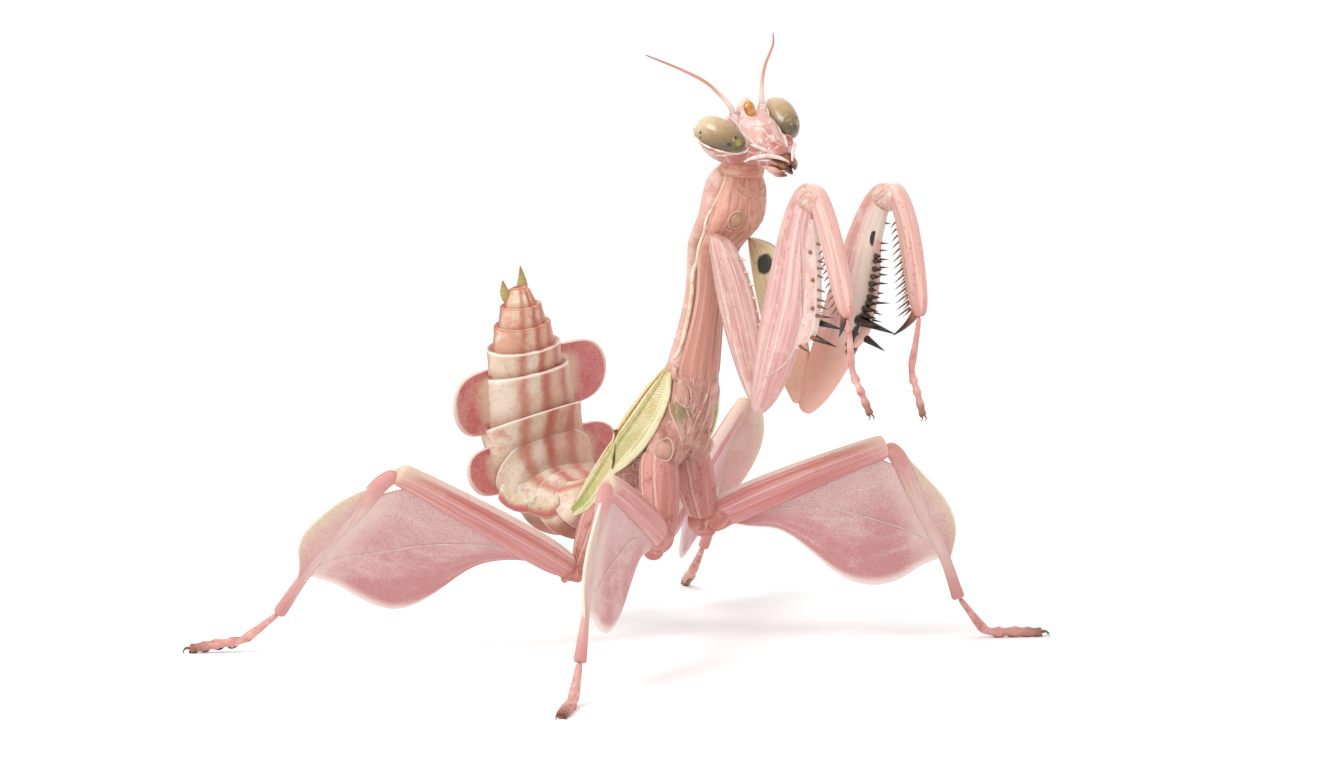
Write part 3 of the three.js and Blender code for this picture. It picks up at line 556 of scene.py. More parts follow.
# %% Mouthparts and face ridges
lip = head_limb(
    "lip",
    [
        (0, -0.72, -2.75, 0.36, 0.18),
        (0, -0.8, -2.98, 0.42, 0.22),
        (0, -0.84, -3.3, 0.38, 0.22),
        (0, -0.84, -3.55, 0.26, 0.16),
        (0, -0.82, -3.66, 0.1, 0.08),
    ],
)
jaws, palps, face_ridges = [], [], []
for side in SIDES:
    jaws.append(
        head_limb(
            "jaw",
            [
                (0.55 * side, -0.45, -2.6, 0.26, 0.32),
                (0.52 * side, -0.5, -3.0, 0.29, 0.35),
                (0.38 * side, -0.58, -3.35, 0.25, 0.28),
                (0.18 * side, -0.65, -3.65, 0.16, 0.16),
                (0.05 * side, -0.7, -3.82, 0.05, 0.05),
            ],
            10,
        )
    )
    for points, radius in (
        ([(1.05, -0.15, -2.2), (1.0, -0.25, -2.9), (0.75, -0.35, -3.45), (0.38, -0.5, -3.85)], 0.24),
        ([(0.5, 0.15, -2.3), (0.48, 0.1, -3.0), (0.42, -0.05, -3.55), (0.2, -0.3, -3.95)], 0.24),
        ([(1.35, -0.3, -1.9), (1.1, -0.5, -2.5), (0.82, -0.62, -3.0), (0.55, -0.72, -3.4)], 0.17),
    ):
        path = [on_head(x * side, y, z) for x, y, z in points]
        palps.append(tube("palp", path, [radius, radius, radius * 0.7, radius, radius * 0.6, radius * 0.25], 14, 8))
    for points, radius in (
        ([(1.5, -0.5, -2.45), (1.1, -0.7, -2.75), (0.7, -0.8, -3.05)], 0.06),
        ([(1.31, -0.65, -1.35), (1.1, -0.74, -1.69), (0.87, -0.81, -2.07), (0.71, -0.82, -2.47)], 0.14),
        ([(0.87, -0.99, 0.41), (1.2, -0.8, 0.01), (1.35, -0.76, -0.51), (1.22, -0.75, -1.05), (1.05, -0.78, -1.63), (0.84, -0.8, -2.25)], 0.06),
        ([(3.1, 0.4, -0.6), (2.95, 0.0, -1.05), (2.65, -0.35, -1.42), (2.17, -0.5, -1.62), (1.79, -0.55, -1.62), (1.46, -0.6, -1.4)], 0.09),
    ):
        marks = [on_head(x * side, y, z) for x, y, z in points]
        face_ridges.append(seam_on(shell, marks, radius, 20))
    fold = [(1.95, 0.05, -1.88), (1.72, -0.45, -2.14), (1.32, -0.8, -2.42), (0.88, -1.0, -2.75), (0.46, -1.08, -3.15), (0.1, -1.06, -3.58)]
    face_ridges.append(tube("cheek_fold", [on_head(x * side, y, z) for x, y, z in fold], [0.05, 0.12, 0.13, 0.12, 0.05], 20, 8))
    rim_marks = [(1.45, -0.75, 1.1), (1.38, -0.88, 0.68), (1.27, -0.8, 0.21), (1.25, -0.75, -0.33), (1.34, -0.7, -0.91), (1.46, -0.58, -1.3)]
    rims.append(seam_on(shell, [on_head(x * side, y, z) for x, y, z in rim_marks], 0.09, 24))
eye_rims = joined("eye_rims", rims)
jaws, palps, face_ridges = joined("jaws", jaws), joined("palps", palps), joined("face_ridges", face_ridges)

ANTENNA_PATHS = {
    RIGHT: [(1.15, -0.9, 0.75), (1.25, -1.3, 1.2), (1.45, -1.45, 2.05), (2.0, -1.75, 3.1), (3.05, -1.85, 4.45), (4.2, -1.5, 6.35)],
    LEFT: [(1.12, -0.9, 0.75), (1.25, -1.25, 1.15), (1.85, -1.45, 2.0), (2.7, -1.75, 2.95), (4.2, -1.85, 4.1), (5.2, -1.5, 5.15)],
}
feelers = {}
for side, path in ANTENNA_PATHS.items():
    points = [on_head(x * side, y, z) for x, y, z in path]
    feelers[side] = tube(f"antenna_{SIDES[side]}", points, [0.19, 0.13, 0.1, 0.09, 0.075, 0.055, 0.03], 40, 8)

# %% [markdown]
# ## The neck and the prothorax
# The long first ring of the thorax carries the grasping legs. Its back is a smooth shield, the pronotum, and
# its front is a softer shell. Both are limbs: the shield sits a little further back and is a little wider, so
# that it stands proud of the front shell along a line on each side, where a pale margin runs.

# %% Neck and prothorax
PROTHORAX_FOOT = Vector((0, -2.1, 17.8))
PROTHORAX_TOP = Vector((0, -5.65, 29.6))
# Share of the way up, half width, and how far the back and the front reach from the middle line.
PROTHORAX_PROFILE = [
    (-0.09, 1.2, 1.3, 1.2),
    (-0.04, 1.55, 1.6, 1.45),
    (0.03, 1.5, 1.55, 1.3),
    (0.17, 1.3, 1.4, 1.05),
    (0.32, 1.1, 1.45, 0.75),
    (0.42, 1.22, 1.55, 0.75),
    (0.52, 1.4, 1.7, 0.55),
    (0.61, 1.65, 1.8, 0.55),
    (0.68, 1.85, 1.45, 0.9),
    (0.74, 1.95, 1.3, 1.5),
    (0.81, 2.0, 1.35, 2.0),
    (0.88, 1.96, 1.45, 2.0),
    (0.95, 1.78, 1.5, 1.75),
    (1.01, 1.4, 1.25, 1.45),
    (1.05, 0.7, 0.8, 0.8),
]
up_the_neck = (PROTHORAX_TOP - PROTHORAX_FOOT).normalized()
backwards = up_the_neck.cross(SIDEWAYS).normalized()


def prothorax_stations(widen, back_cut, front_cut):
    stations = []
    for share, wide, back, front in PROTHORAX_PROFILE:
        back_reach, front_reach = back - back_cut, front - front_cut
        centre = PROTHORAX_FOOT.lerp(PROTHORAX_TOP, share) + backwards * ((back_reach - front_reach) / 2)
        stations.append((centre, wide + widen, (back_reach + front_reach) / 2))
    return stations


pronotum = limb("pronotum", prothorax_stations(0.06, 0, 1.05), SIDEWAYS, 14)
prosternum = limb("prosternum", prothorax_stations(-0.05, 0.75, 0), SIDEWAYS, 14)
neck = limb(
    "neck",
    [
        (Vector((0.4, -6.7, 32.1)), 0.9, 0.8),
        (Vector((0.3, -6.55, 31.6)), 1.15, 1.0),
        (Vector((0.15, -6.3, 31.0)), 1.3, 1.15),
        (Vector((0.05, -6.1, 30.4)), 1.35, 1.25),
        (Vector((0, -6.0, 29.8)), 1.45, 1.3),
        (Vector((0, -5.95, 29.2)), 1.3, 1.2),
    ],
    SIDEWAYS,
    14,
)

# %% [markdown]
# Raised cords draw the plates: the cream margin along each side of the pronotum, folded collars where the
# neck slides in, and the rims of the sockets that the grasping legs turn in. Each is given by a few points in
# space that are pulled to the nearest skin.

# %% Margins, collars and sockets
MARGIN = [(-0.88, -5.71, 29.95), (-1.69, -6.11, 28.91), (-1.97, -5.37, 27.52), (-1.83, -4.38, 25.85), (-1.35, -3.3, 23.97), (-1.04, -2.72, 21.75), (-1.28, -2.19, 19.24), (-1.5, -1.7, 18.2)]
COLLARS = [
    [(-1.17, -6.64, 29.39), (-1.06, -7.0, 28.9), (-0.65, -7.23, 28.66), (0, -7.35, 28.6)],
    [(-1.39, -6.62, 29.12), (-1.22, -7.0, 28.45), (-0.7, -7.29, 28.15), (0, -7.4, 28.1)],
]
SOCKETS = [(-1.15, -6.8, 26.75), 0.62, 0.36]
CHEST_FOLDS = [
    [(-1.75, -5.92, 26.4), (-1.33, -6.3, 26.05), (-0.75, -6.4, 25.75), (-0.3, -6.7, 26.1), (0, -6.9, 26.6)],
    [(-0.55, -7.3, 28.6), (-0.45, -7.2, 27.8), (-0.42, -7.0, 27.0)],
]


def both_sides(points):
    return [[Vector((x * -side, y, z)) for x, y, z in points] for side in SIDES]


margins, chest_seams = [], []
for points in both_sides(MARGIN):
    path = []
    for p in along_curve(points, 24):
        skins_near = [piece.closest_point_on_mesh(p)[1] for piece in (pronotum, prosternum)]
        path.append(min(skins_near, key=lambda q: (q - p).length))
    margins.append(tube("pronotum_margin", path, [0.05, 0.07, 0.09, 0.12, 0.15, 0.16, 0.16, 0.1], 40, 8))
for marks in COLLARS + CHEST_FOLDS:
    for points in both_sides(marks):
        chest_seams.append(seam_on(prosternum, points, 0.05, 16))
sockets = []
for (centre,) in both_sides(SOCKETS[:1]):
    skin, out = prosternum.closest_point_on_mesh(centre)[1:3]
    axes = any_axes(out)
    for radius in SOCKETS[1:]:
        turns = [math.radians(24 * i) for i in range(16)]
        ring = [skin + axes @ Vector((math.cos(t) * radius * 0.8, math.sin(t) * radius, 0)) for t in turns]
        chest_seams.append(seam_on(prosternum, ring, 0.05, 24))
    sockets.append(ball("socket", skin - out * 0.12, (0.3, 0.38, 0.24), axes, 20, 12))
sockets = joined("leg_sockets", sockets)
margins, chest_seams = joined("pronotum_margins", margins), joined("chest_seams", chest_seams)

# %% [markdown]
# ## The rear thorax
# Two more rings carry the walking legs. They are one tapering trunk here, and the plates of their sides are
# drawn by raised seams. The seams run along the skin, so they are given as a share of the way down the trunk
# and an angle round it.

# %% Rear thorax
TRUNK_PROFILE = [(0, 1.3, 1.3), (0.06, 1.55, 1.5), (0.15, 1.75, 1.65), (0.3, 1.95, 1.9), (0.6, 2.15, 2.1), (0.85, 2.3, 2.05), (1, 2.2, 1.85)]
trunk_line = along_curve([(0, -2.35, 17.9), (0, -0.9, 15.2), (0, 2.4, 11.5), (0, 5.4, 8.9)], 13)


def size_at(profile, share):
    """Half width and half depth at a share along a profile."""
    shares = [row[0] for row in profile]
    return [float(np.interp(share, shares, [row[i] for row in profile])) for i in (1, 2)]


trunk = [
    limb(
        "rear_trunk",
        [(at, *size_at(TRUNK_PROFILE, i / 12)) for i, at in enumerate(trunk_line)],
        SIDEWAYS,
        14,
    )
]
# Each leg hangs from a bulging housing on the trunk's side: points down its middle, with half width and depth.
HOUSINGS = [
    [((0.75, -2.3, 17.0), 0.55, 0.6), ((1.0, -1.9, 15.8), 0.8, 0.95), ((1.35, -1.5, 14.0), 0.9, 1.25), ((1.65, -1.15, 12.4), 0.98, 1.3), ((1.75, -1.1, 11.4), 0.8, 1.0)],
    [((1.15, 0.6, 14.2), 0.5, 0.5), ((1.5, 1.6, 12.6), 0.75, 0.95), ((1.75, 2.7, 10.9), 0.85, 1.15), ((1.9, 3.7, 9.5), 0.9, 1.1), ((1.95, 4.2, 8.6), 0.7, 0.85)],
]
# The left middle leg stands a little further back and closer in than the right one.
HOUSING_SHIFT = {RIGHT: Vector((-0.2, 0.1, 0)), LEFT: Vector((-0.4, 0.7, 0))}
for side in SIDES:
    for number, housing in enumerate(HOUSINGS):
        shift = HOUSING_SHIFT[side] if number == 0 else Vector()
        stations = [(Vector((x * side, y, z)) + shift, wide, deep) for (x, y, z), wide, deep in housing]
        trunk.append(limb("leg_housing", stations, SIDEWAYS, 12))
trunk = joined("rear_trunk", trunk)
finish_with(trunk, "REMESH", mode="VOXEL", voxel_size=0.11)
finish_with(trunk, "SMOOTH", factor=0.6, iterations=4)

# %% [markdown]
# The plates of the side are outlined by raised seams, and the small ones swell up between them. The right side
# is listed, and the left side mirrors it.

# %% Plates of the rear thorax
PLATES = [
    [(-1.54, -1.58, 18.3), (-1.39, -2.49, 18.51), (-1.28, -2.91, 17.87), (-1.16, -2.85, 16.92)],
    [(-1.54, -1.84, 17.16), (-1.25, -2.75, 16.64), (-1.05, -2.74, 15.69), (-1.32, -2.69, 15.33), (-1.69, -2.53, 15.53), (-1.79, -1.96, 16.34), (-1.54, -1.84, 17.16)],
    [(-1.68, -1.58, 16.59), (-2.1, -1.96, 15.24), (-1.98, -2.43, 14.23), (-1.56, -2.47, 13.08), (-0.9, -1.8, 12.08)],
    [(-1.43, -2.67, 15.34), (-1.05, -2.55, 14.55), (-0.53, -1.88, 13.52), (-0.4, -1.49, 12.91)],
    [(0.0, -3.1, 19.4), (0.02, -3.1, 17.6), (0.1, -3.1, 16.2), (0.31, -2.9, 15.32), (0.4, -2.23, 14.04), (0.15, -1.19, 12.46)],
    [(-1.28, -2.67, 19.45), (-1.12, -3.15, 18.53), (-1.1, -3.06, 17.59), (-1.05, -2.95, 16.64)],
    [(-2.9, -1.6, 13.2), (-2.75, -2.0, 13.5), (-2.3, -2.2, 13.45), (-2.05, -2.2, 12.9), (-2.3, -2.2, 12.2), (-2.75, -1.9, 12.1), (-2.95, -1.5, 12.5)],
    [(-2.6, 1.2, 13.2), (-2.5, 2.2, 12.2), (-2.6, 3.0, 11.2), (-2.7, 3.8, 10.0)],
    [(-1.9, -1.2, 15.6), (-2.2, -0.6, 14.6), (-2.5, 0.2, 13.4), (-2.4, 0.9, 12.2), (-2.2, 1.3, 11.2)],
]
BULGES = [((-1.45, -2.35, 16.1), (0.42, 0.5, 0.95)), ((-2.35, -1.7, 12.75), (0.6, 0.6, 0.6)), ((-1.2, -2.35, 17.6), (0.45, 0.5, 0.75)), ((-1.1, -2.1, 14.4), (0.45, 0.55, 0.95))]
side_seams, bulges = [], []
for marks in PLATES:
    for points in both_sides(marks):
        side_seams.append(seam_on(trunk, points, 0.06, 22))
for (x, y, z), radii in BULGES:
    for side in SIDES:
        skin, out = trunk.closest_point_on_mesh(Vector((-x * side, y, z)))[1:3]
        bulges.append(ball("plate", skin - out * (min(radii) * 0.55), radii, None, 24, 14))
side_seams, bulges = joined("side_seams", side_seams), joined("side_plates", bulges)

# %% [markdown]
# ## Wing pads
# The wings of a nymph are still short pads that lie along its sides. Each pad is a leaf between its hinge
# line and its outer edge, thick and slightly domed, with a rolled margin.

# %% Wing pads
PAD_HINGE, PAD_TIP, PAD_FACE = Vector((1.42, -1.3, 17.84)), Vector((2.9, 6.07, 8.18)), Vector((0.95, 0.15, 0.26))
FORE_PAD = {
    "roots": [(0.0, -0.05), (1.0, -0.3), (2.05, -0.52), (3.2, -0.62), (4.38, -0.68), (5.3, -0.72), (6.06, -0.72), (6.6, -0.35), (7.1, 0.3)],
    "rims": [(0.15, 0.45), (1.1, 1.59), (2.28, 2.1), (3.2, 2.33), (4.05, 2.4), (5.0, 2.32), (5.71, 2.18), (6.7, 1.85), (7.72, 1.37)],
}
HIND_PAD = {
    "roots": [(6.0, -0.62), (7.2, -0.62), (8.18, -0.6), (9.0, -0.56), (9.67, -0.5), (10.6, -0.42), (11.38, -0.36), (12.0, -0.3)],
    "rims": [(6.7, 0.5), (7.4, 1.1), (8.0, 1.3), (8.7, 1.32), (9.38, 1.28), (10.3, 1.16), (11.04, 0.99), (12.2, 0.2)],
}
pads, pad_seams, knobs = {}, [], []
for side in SIDES:
    hinge, tip, face = (Vector((v.x * side, v.y, v.z)) for v in (PAD_HINGE, PAD_TIP, PAD_FACE))
    along = (tip - hinge).normalized()
    down = (along.cross(face) * side).normalized()
    outwards = along.cross(down) * -side
    for name, outline, sink in (("fore", FORE_PAD, 0.0), ("hind", HIND_PAD, -0.16)):
        edges = [[hinge + along * a + down * b + outwards * sink for a, b in outline[edge]] for edge in ("roots", "rims")]
        pad = leaf(f"{name}_wing_pad_{SIDES[side]}", *edges, outwards, rows=8, thick=0.34, raised=[0.1, 0.02, 0.16, 0.1, 0.02, 0, 0, 0.02, 0.14])
        edge_cord = tube("pad_margin", [p + outwards * 0.1 for p in edges[1]], [0.08, 0.12, 0.12, 0.08], 20, 8)
        back_cord = tube("pad_back_margin", [p + outwards * 0.08 for p in edges[0]], [0.08, 0.12, 0.12, 0.06], 20, 8)
        cords = [edge_cord, back_cord]
        for share, radius in ((0.24, 0.11), (0.8, 0.09)):
            line = [a.lerp(b, share) for a, b in zip(*edges)][1:-1]
            cords.append(seam_on(pad, [p + outwards * 0.5 for p in line], radius, 20))
        pads[name, side] = (pad, joined(f"{name}_pad_margin_{SIDES[side]}", cords))
    seam_line = [(5.95, -0.75), (6.05, -0.3), (6.35, 0.2), (6.9, 0.7), (7.55, 1.2)]
    pad_seams.append(tube("pad_seam", [hinge + along * a + down * b + outwards * 0.22 for a, b in seam_line], [0.05, 0.09, 0.07, 0.05], 16, 6))
    pad_seams.append(ball("pad_dot", hinge + along * 5.9 - down * 0.42 + outwards * 0.2, (0.13, 0.14, 0.2), None, 16, 10))
    for a, b, out, size in ((-0.2, 0.0, -0.18, 0.4), (0.3, 0.2, -0.08, 0.34), (0.15, 0.62, -0.1, 0.28)):
        knobs.append(ball("pad_hinge", hinge + along * a + down * b + outwards * out, (size * 0.8, size * 1.1, size * 1.7), None, 20, 12))
pad_seams, knobs = joined("pad_seams", pad_seams), joined("pad_hinges", knobs)

# %% [markdown]
# ## The abdomen
# The abdomen is a row of rings that curl up and over. Each ring ends in a crisp, slightly flared edge, and
# the next one comes out from under it. Two rings have flat lobes at their sides.

# %% Abdomen line
LEAN = Quaternion((0, 1, 0), math.radians(-9))
LEAN_PIVOT = Vector((0, 0, 9))


def leaned(point):
    return LEAN @ (Vector(point) - LEAN_PIVOT) + LEAN_PIVOT


ABDOMEN_STEPS = 201
ABDOMEN_CURL = [(5.6, 8.9), (7.6, 8.2), (9.8, 8.7), (11.2, 10.2), (11.9, 12.0), (12.1, 14.6), (12.0, 17.4), (11.8, 20.0), (11.7, 22.0)]
abdomen_line = [leaned(p) for p in along_curve([(0, y, z) for y, z in ABDOMEN_CURL], ABDOMEN_STEPS)]
ACROSS_ABDOMEN = LEAN @ SIDEWAYS
ABDOMEN_PROFILE = [
    (0, 2.1, 1.9), (0.12, 2.9, 2.2), (0.25, 3.55, 2.2), (0.4, 3.95, 2.15), (0.55, 3.68, 1.95),
    (0.68, 3.2, 1.7), (0.8, 2.5, 1.5), (0.9, 1.65, 1.2), (0.96, 1.05, 0.85), (1, 0.5, 0.4),
]
RING_ENDS = [0, 0.08, 0.16, 0.24, 0.365, 0.54, 0.71, 0.8, 0.875, 0.94, 1]
# The last two rings are short, and together they make the tip.
# Ring number: how far its lobes stand out, how long they are, and how far along they are shifted.
LOBES = {5: (2.3, 3.1, -0.75), 6: (2.95, 4.2, 0.35)}


def on_abdomen(share):
    return abdomen_line[round(min(max(share, 0), 1) * (ABDOMEN_STEPS - 1))].copy()


def abdomen_way(share):
    return (on_abdomen(share + 0.02) - on_abdomen(share - 0.02)).normalized()


# %% Abdomen rings
# Share of the way along the ring, and how much wider than the profile it is there.
RING_SHAPE = [(-0.2, -0.3), (0.0, -0.14), (0.35, -0.02), (0.7, 0.08), (0.9, 0.2), (1.0, 0.24), (1.02, 0.14), (1.0, 0.02), (0.9, -0.2)]
# How far each ring's plane leans back from the curl, in degrees, along the abdomen.
LEAN_BACK = [(0.0, 5), (0.08, 34), (0.16, 46), (0.24, 52), (0.365, 45), (0.54, 15), (0.71, 2), (0.8, -6), (1.0, -4)]


def ring_way(share):
    angle = np.interp(share, [row[0] for row in LEAN_BACK], [row[1] for row in LEAN_BACK])
    return Quaternion(ACROSS_ABDOMEN, -math.radians(angle)) @ abdomen_way(share)


rings, lobes = {}, {}
for number, (start, end) in enumerate(zip(RING_ENDS, RING_ENDS[1:]), 1):
    stations, ways = [], []
    flare = 1.5 if number < 5 else 1.1 if number < 8 else 0.75
    for step, grow in RING_SHAPE:
        share = min(max(lerp(start, end, step), 0), 1)
        wide, deep = size_at(ABDOMEN_PROFILE, share)
        if number == 10 and step > 0.95:
            share, wide, deep = 1, wide * 0.6, deep * 0.6
        stations.append((on_abdomen(share) + abdomen_way(share) * (0.02 * len(stations)), max(wide + grow * flare, 0.1), max(deep + grow * flare, 0.1)))
        ways.append(ring_way(share))
    rings[number] = limb(f"abdomen_ring_{number}", stations, ACROSS_ABDOMEN, 16, ways=ways)
    if number in LOBES:
        middle = (start + end) / 2
        way = abdomen_way(middle)
        wide, _ = size_at(ABDOMEN_PROFILE, middle)
        pair = []
        for side in SIDES:
            out, length, shift = LOBES[number]
            if side == LEFT:
                out, shift = out + 0.65, shift + (0.25 if number == 6 else -0.35)
            centre = on_abdomen(middle) + way * shift
            turns = [math.radians(angle) for angle in range(180, -1, -15)]
            outwards = ACROSS_ABDOMEN * side
            neck_share = 0.26 if out > 2 else 0.42
            roots = [centre + way * (math.cos(t) * length * neck_share) + outwards * (wide - 0.5) for t in turns]
            rims = [
                centre + way * (math.cos(t) * length * 0.5) + outwards * (wide - 0.4 + (out + 0.4) * math.sin(t) ** 0.55)
                for t in turns
            ]
            face = way.cross(outwards) * side
            pair.append(leaf("lobe", roots, rims, face, rows=6, thick=0.3, raised=[0, 0.05, 0.1, 0.12, 0.1, 0.05, 0]))
        lobes[number] = joined(f"abdomen_lobes_{number}", pair)
rings[9] = joined("abdomen_ring_9", [rings[9], rings.pop(10)])

# %% [markdown]
# The first plates of the abdomen spread sideways into flaps with pink rims, like overlapping roof tiles. Each
# is a short leaf from the side of its ring.

# %% Side flaps
FLAPS = [
    ([(-4.85, 10.3, 9.95), (-4.35, 9.8, 9.35), (-3.85, 9.3, 9.1), (-3.3, 8.75, 9.2)], [(-5.0, 10.45, 8.85), (-4.6, 10.1, 8.35), (-3.95, 9.5, 8.0), (-3.2, 8.75, 8.1)]),
    ([(-3.75, 9.2, 8.85), (-3.3, 8.7, 9.0), (-2.85, 8.2, 9.0), (-2.4, 7.7, 9.2)], [(-3.7, 9.1, 8.1), (-3.2, 8.6, 7.75), (-2.75, 8.1, 7.7), (-2.2, 7.6, 8.1)]),
]
flaps = []
for roots, rims in FLAPS:
    for side in SIDES:
        edges = [along_curve([(-x * side, y, z) for x, y, z in edge], 9) for edge in (roots, rims)]
        face = Vector((0.75 * side, -0.6, 0.25))
        flaps.append(leaf("flap", *edges, face, rows=5, thick=0.34, raised=[0, 0.1, 0.18, 0.2, 0.14, 0]))
flaps = joined("abdomen_flaps", flaps)

# %% Tail feelers
cerci = {}
for side, height in ((RIGHT, 22.7), (LEFT, 23.3)):
    root, tip = Vector((0.42 * side, 12.1, 21.2)), Vector((0.8 * side, 12.25, height))
    middle = root.lerp(tip, 0.5) + Vector((0.16 * side, 0.05, -0.05))
    points = [leaned(p) for p in (root, middle, tip)]
    cerci[side] = tube(f"cercus_{SIDES[side]}", points, [0.36, 0.4, 0.33, 0.18, 0.03], 14, 10)

# %% [markdown]
# ## Walking legs
# Each walking leg has a coxa, a small trochanter, a femur and a tibia that carry petals, and a jointed foot.
# The leg lies in one plane, through the hip, the knee and the ankle, so the petals are drawn in that plane,
# as distances along the femur and down from it.

# %% Sizes of the walking legs
MID_LEG = {"femur": 12.45, "tibia": 11.1, "heel": 2.83, "toes": 3.55}
HIND_LEG = {"femur": 14.8, "tibia": 12.9, "heel": 2.75, "toes": 3.3}
# Pair, side, sizes, hip, then forward and upward angles of the femur, tibia, heel and toes, and the turn of
# the tibia's petal.
WALKING_LEGS = [
    ("mid", RIGHT, MID_LEG, (-2.2, -1.38, 7.44), (30.2, 22.3), (27.4, -63.5), (36.4, -40), (37.3, -3), 0),
    ("mid", LEFT, MID_LEG, (2.32, -0.38, 7.98), (33.1, 21.6), (34.2, -64.5), (28.6, -48.4), (36.6, -2.6), 0),
    ("hind", RIGHT, HIND_LEG, (-2.68, 5.79, 4.6), (-8.1, 29.3), (-72.5, -46.9), (-47.5, -35.9), (-41.2, -9.4), 0),
    ("hind", LEFT, HIND_LEG, (2.82, 4.45, 5.64), (-17.4, 33.9), (-67.5, -55.7), (-67.8, -44.2), (-53.3, -19.4), 45),
]
COXA_ROOT = {
    ("mid", RIGHT): (-1.95, -0.8, 12.3),
    ("mid", LEFT): (1.3, -0.2, 12.3),
    ("hind", RIGHT): (-1.9, 4.0, 9.4),
    ("hind", LEFT): (1.9, 4.0, 9.4),
}
COXA_PROFILE = {
    "mid": [(-0.1, 0.6, 0.8), (0, 1.12, 1.25), (0.3, 1.22, 1.32), (0.6, 1.15, 1.25), (0.85, 0.96, 1.08), (0.95, 0.82, 0.94), (1.04, 0.5, 0.6)],
    "hind": [(-0.1, 0.6, 0.8), (0, 1.0, 1.15), (0.3, 1.0, 1.15), (0.6, 0.85, 0.9), (0.82, 0.65, 0.65), (0.92, 0.5, 0.5), (0.98, 0.3, 0.3)],
}
PETALS = {
    "mid": {
        "femur": [(0.6, 0.1), (2.3, 1.5), (4.25, 2.5), (5.5, 4.5), (6.7, 6.75), (8.25, 8.1), (10.15, 8.5), (11.9, 8.15), (13.3, 8.3)],
        "top": [(11.2, 0.4), (12.0, 1.05), (12.75, 1.95)],
        "tibia": [(12.75, 0.9), (13.31, 1.27), (14.04, 2.94), (14.73, 4.73), (14.86, 6.36), (14.4, 7.54), (13.58, 8.56), (13.15, 9.5)],
        "vein": [(3.6, 0.9), (4.84, 1.36), (7.34, 2.33), (9.45, 3.85), (11.52, 5.54), (12.81, 6.9)],
        "shin": [(12.4, 0.2), (12.72, 0.7), (12.9, 1.3), (12.93, 1.9), (12.92, 2.6), (13.0, 3.6), (13.05, 4.8), (13.2, 6.5), (13.32, 8.1), (13.3, 9.3)],
    },
    "hind": {
        "femur": [(0.3, 0.1), (0.93, 0.5), (3.6, 1.15), (5.75, 3.0), (6.2, 5.1), (6.55, 7.05), (7.53, 8.73), (9.62, 9.18), (11.74, 9.1), (13.4, 9.3), (14.25, 9.7)],
        "top": [(13.1, 0.5), (13.95, 1.3), (14.6, 2.3)],
        "tibia": [(14.95, 1.1), (15.43, 2.02), (16.21, 3.45), (16.58, 5.35), (16.54, 7.18), (15.82, 8.4), (14.89, 9.22), (14.2, 10.4)],
        "vein": [(4.6, 0.9), (6.16, 1.3), (9.32, 3.26), (11.49, 5.36), (13.65, 7.45), (14.2, 8.79)],
        "shin": [(14.7, 0.25), (14.97, 0.9), (15.05, 1.6), (14.98, 2.4), (14.82, 3.2), (14.62, 4.4), (14.48, 5.8), (14.42, 7.4), (14.3, 8.9), (14.05, 10.3)],
    },
}


# The outer petal of the left hind leg is turned to the front, so its two edges are given in space.
TURNED_FACE = Vector((-0.69, -0.71, 0.1))
TURNED_PETAL = (
    [(13.85, 8.05, 14.1), (14.0, 9.65, 12.45), (14.25, 10.7, 10.85), (14.95, 11.75, 9.1), (15.8, 12.8, 7.4), (16.6, 13.75, 5.6)],
    [(14.6, 7.4, 14.15), (15.5, 7.35, 13.1), (16.35, 8.1, 11.5), (16.8, 9.2, 9.85), (17.1, 10.95, 7.95), (17.0, 12.55, 6.6), (16.9, 13.7, 5.5)],
)


def leg_way(side, forward, up):
    """The direction of a leg part, from its angles forward of sideways and up."""
    level = math.cos(math.radians(up))
    ahead = math.radians(forward)
    return Vector((side * math.cos(ahead) * level, -math.sin(ahead) * level, math.sin(math.radians(up))))


# %% [markdown]
# A foot is a chain of small segments, each flared at its far end, with a dark pad underneath and two hooked
# claws at the tip.

# %% The foot maker
def foot_pieces(name, points, width, ends, across, sole):
    """A jointed foot through points, with its pads and claws. ends are the shares where its segments end."""
    path = along_curve(points, 60)

    def at(share):
        return path[round(min(max(share, 0), 1) * 59)].copy()

    stations, pads_and_claws, start = [], [], 0.0
    for i, end in enumerate(ends):
        size = width * (0.85 if i == 0 else lerp(1.05, 0.85, i / len(ends)))
        for share, grow in ((0.02, 0.66), (0.4, 0.72), (0.8, 1.02), (0.94, 1.12), (0.99, 0.72)):
            stations.append((at(lerp(start, end, share)), size * grow, size * grow * 0.9))
        if i:
            middle = at(lerp(start, end, 0.78)) + sole * (size * 0.6)
            along = (at(end) - at(start)).normalized()
            pads_and_claws.append(ball("pad", middle, (size * 0.6, size * 0.5, size * 0.85), axes_along(along, across), 12, 8))
        start = end
    spaced = [stations[0]]
    for station in stations[1:]:
        if (station[0] - spaced[-1][0]).length > 0.02:
            spaced.append(station)
    foot = limb(name, spaced, across, 10, 1)
    tip, along = path[-1], (path[-1] - path[-6]).normalized()
    for spread in (-1, 1):
        out, reach = across * spread * width, width * 1.15
        points = [
            tip - along * width * 0.3 + out * 0.2,
            tip + along * reach * 0.6 + out * 0.6 - sole * reach * 0.2,
            tip + along * reach + out * 0.7 + sole * reach * 0.2,
            tip + along * reach * 0.8 + out * 0.65 + sole * reach * 0.65,
        ]
        pads_and_claws.append(hook("claw", points, width * 0.24))
    return foot, joined(f"{name}_pads", pads_and_claws)


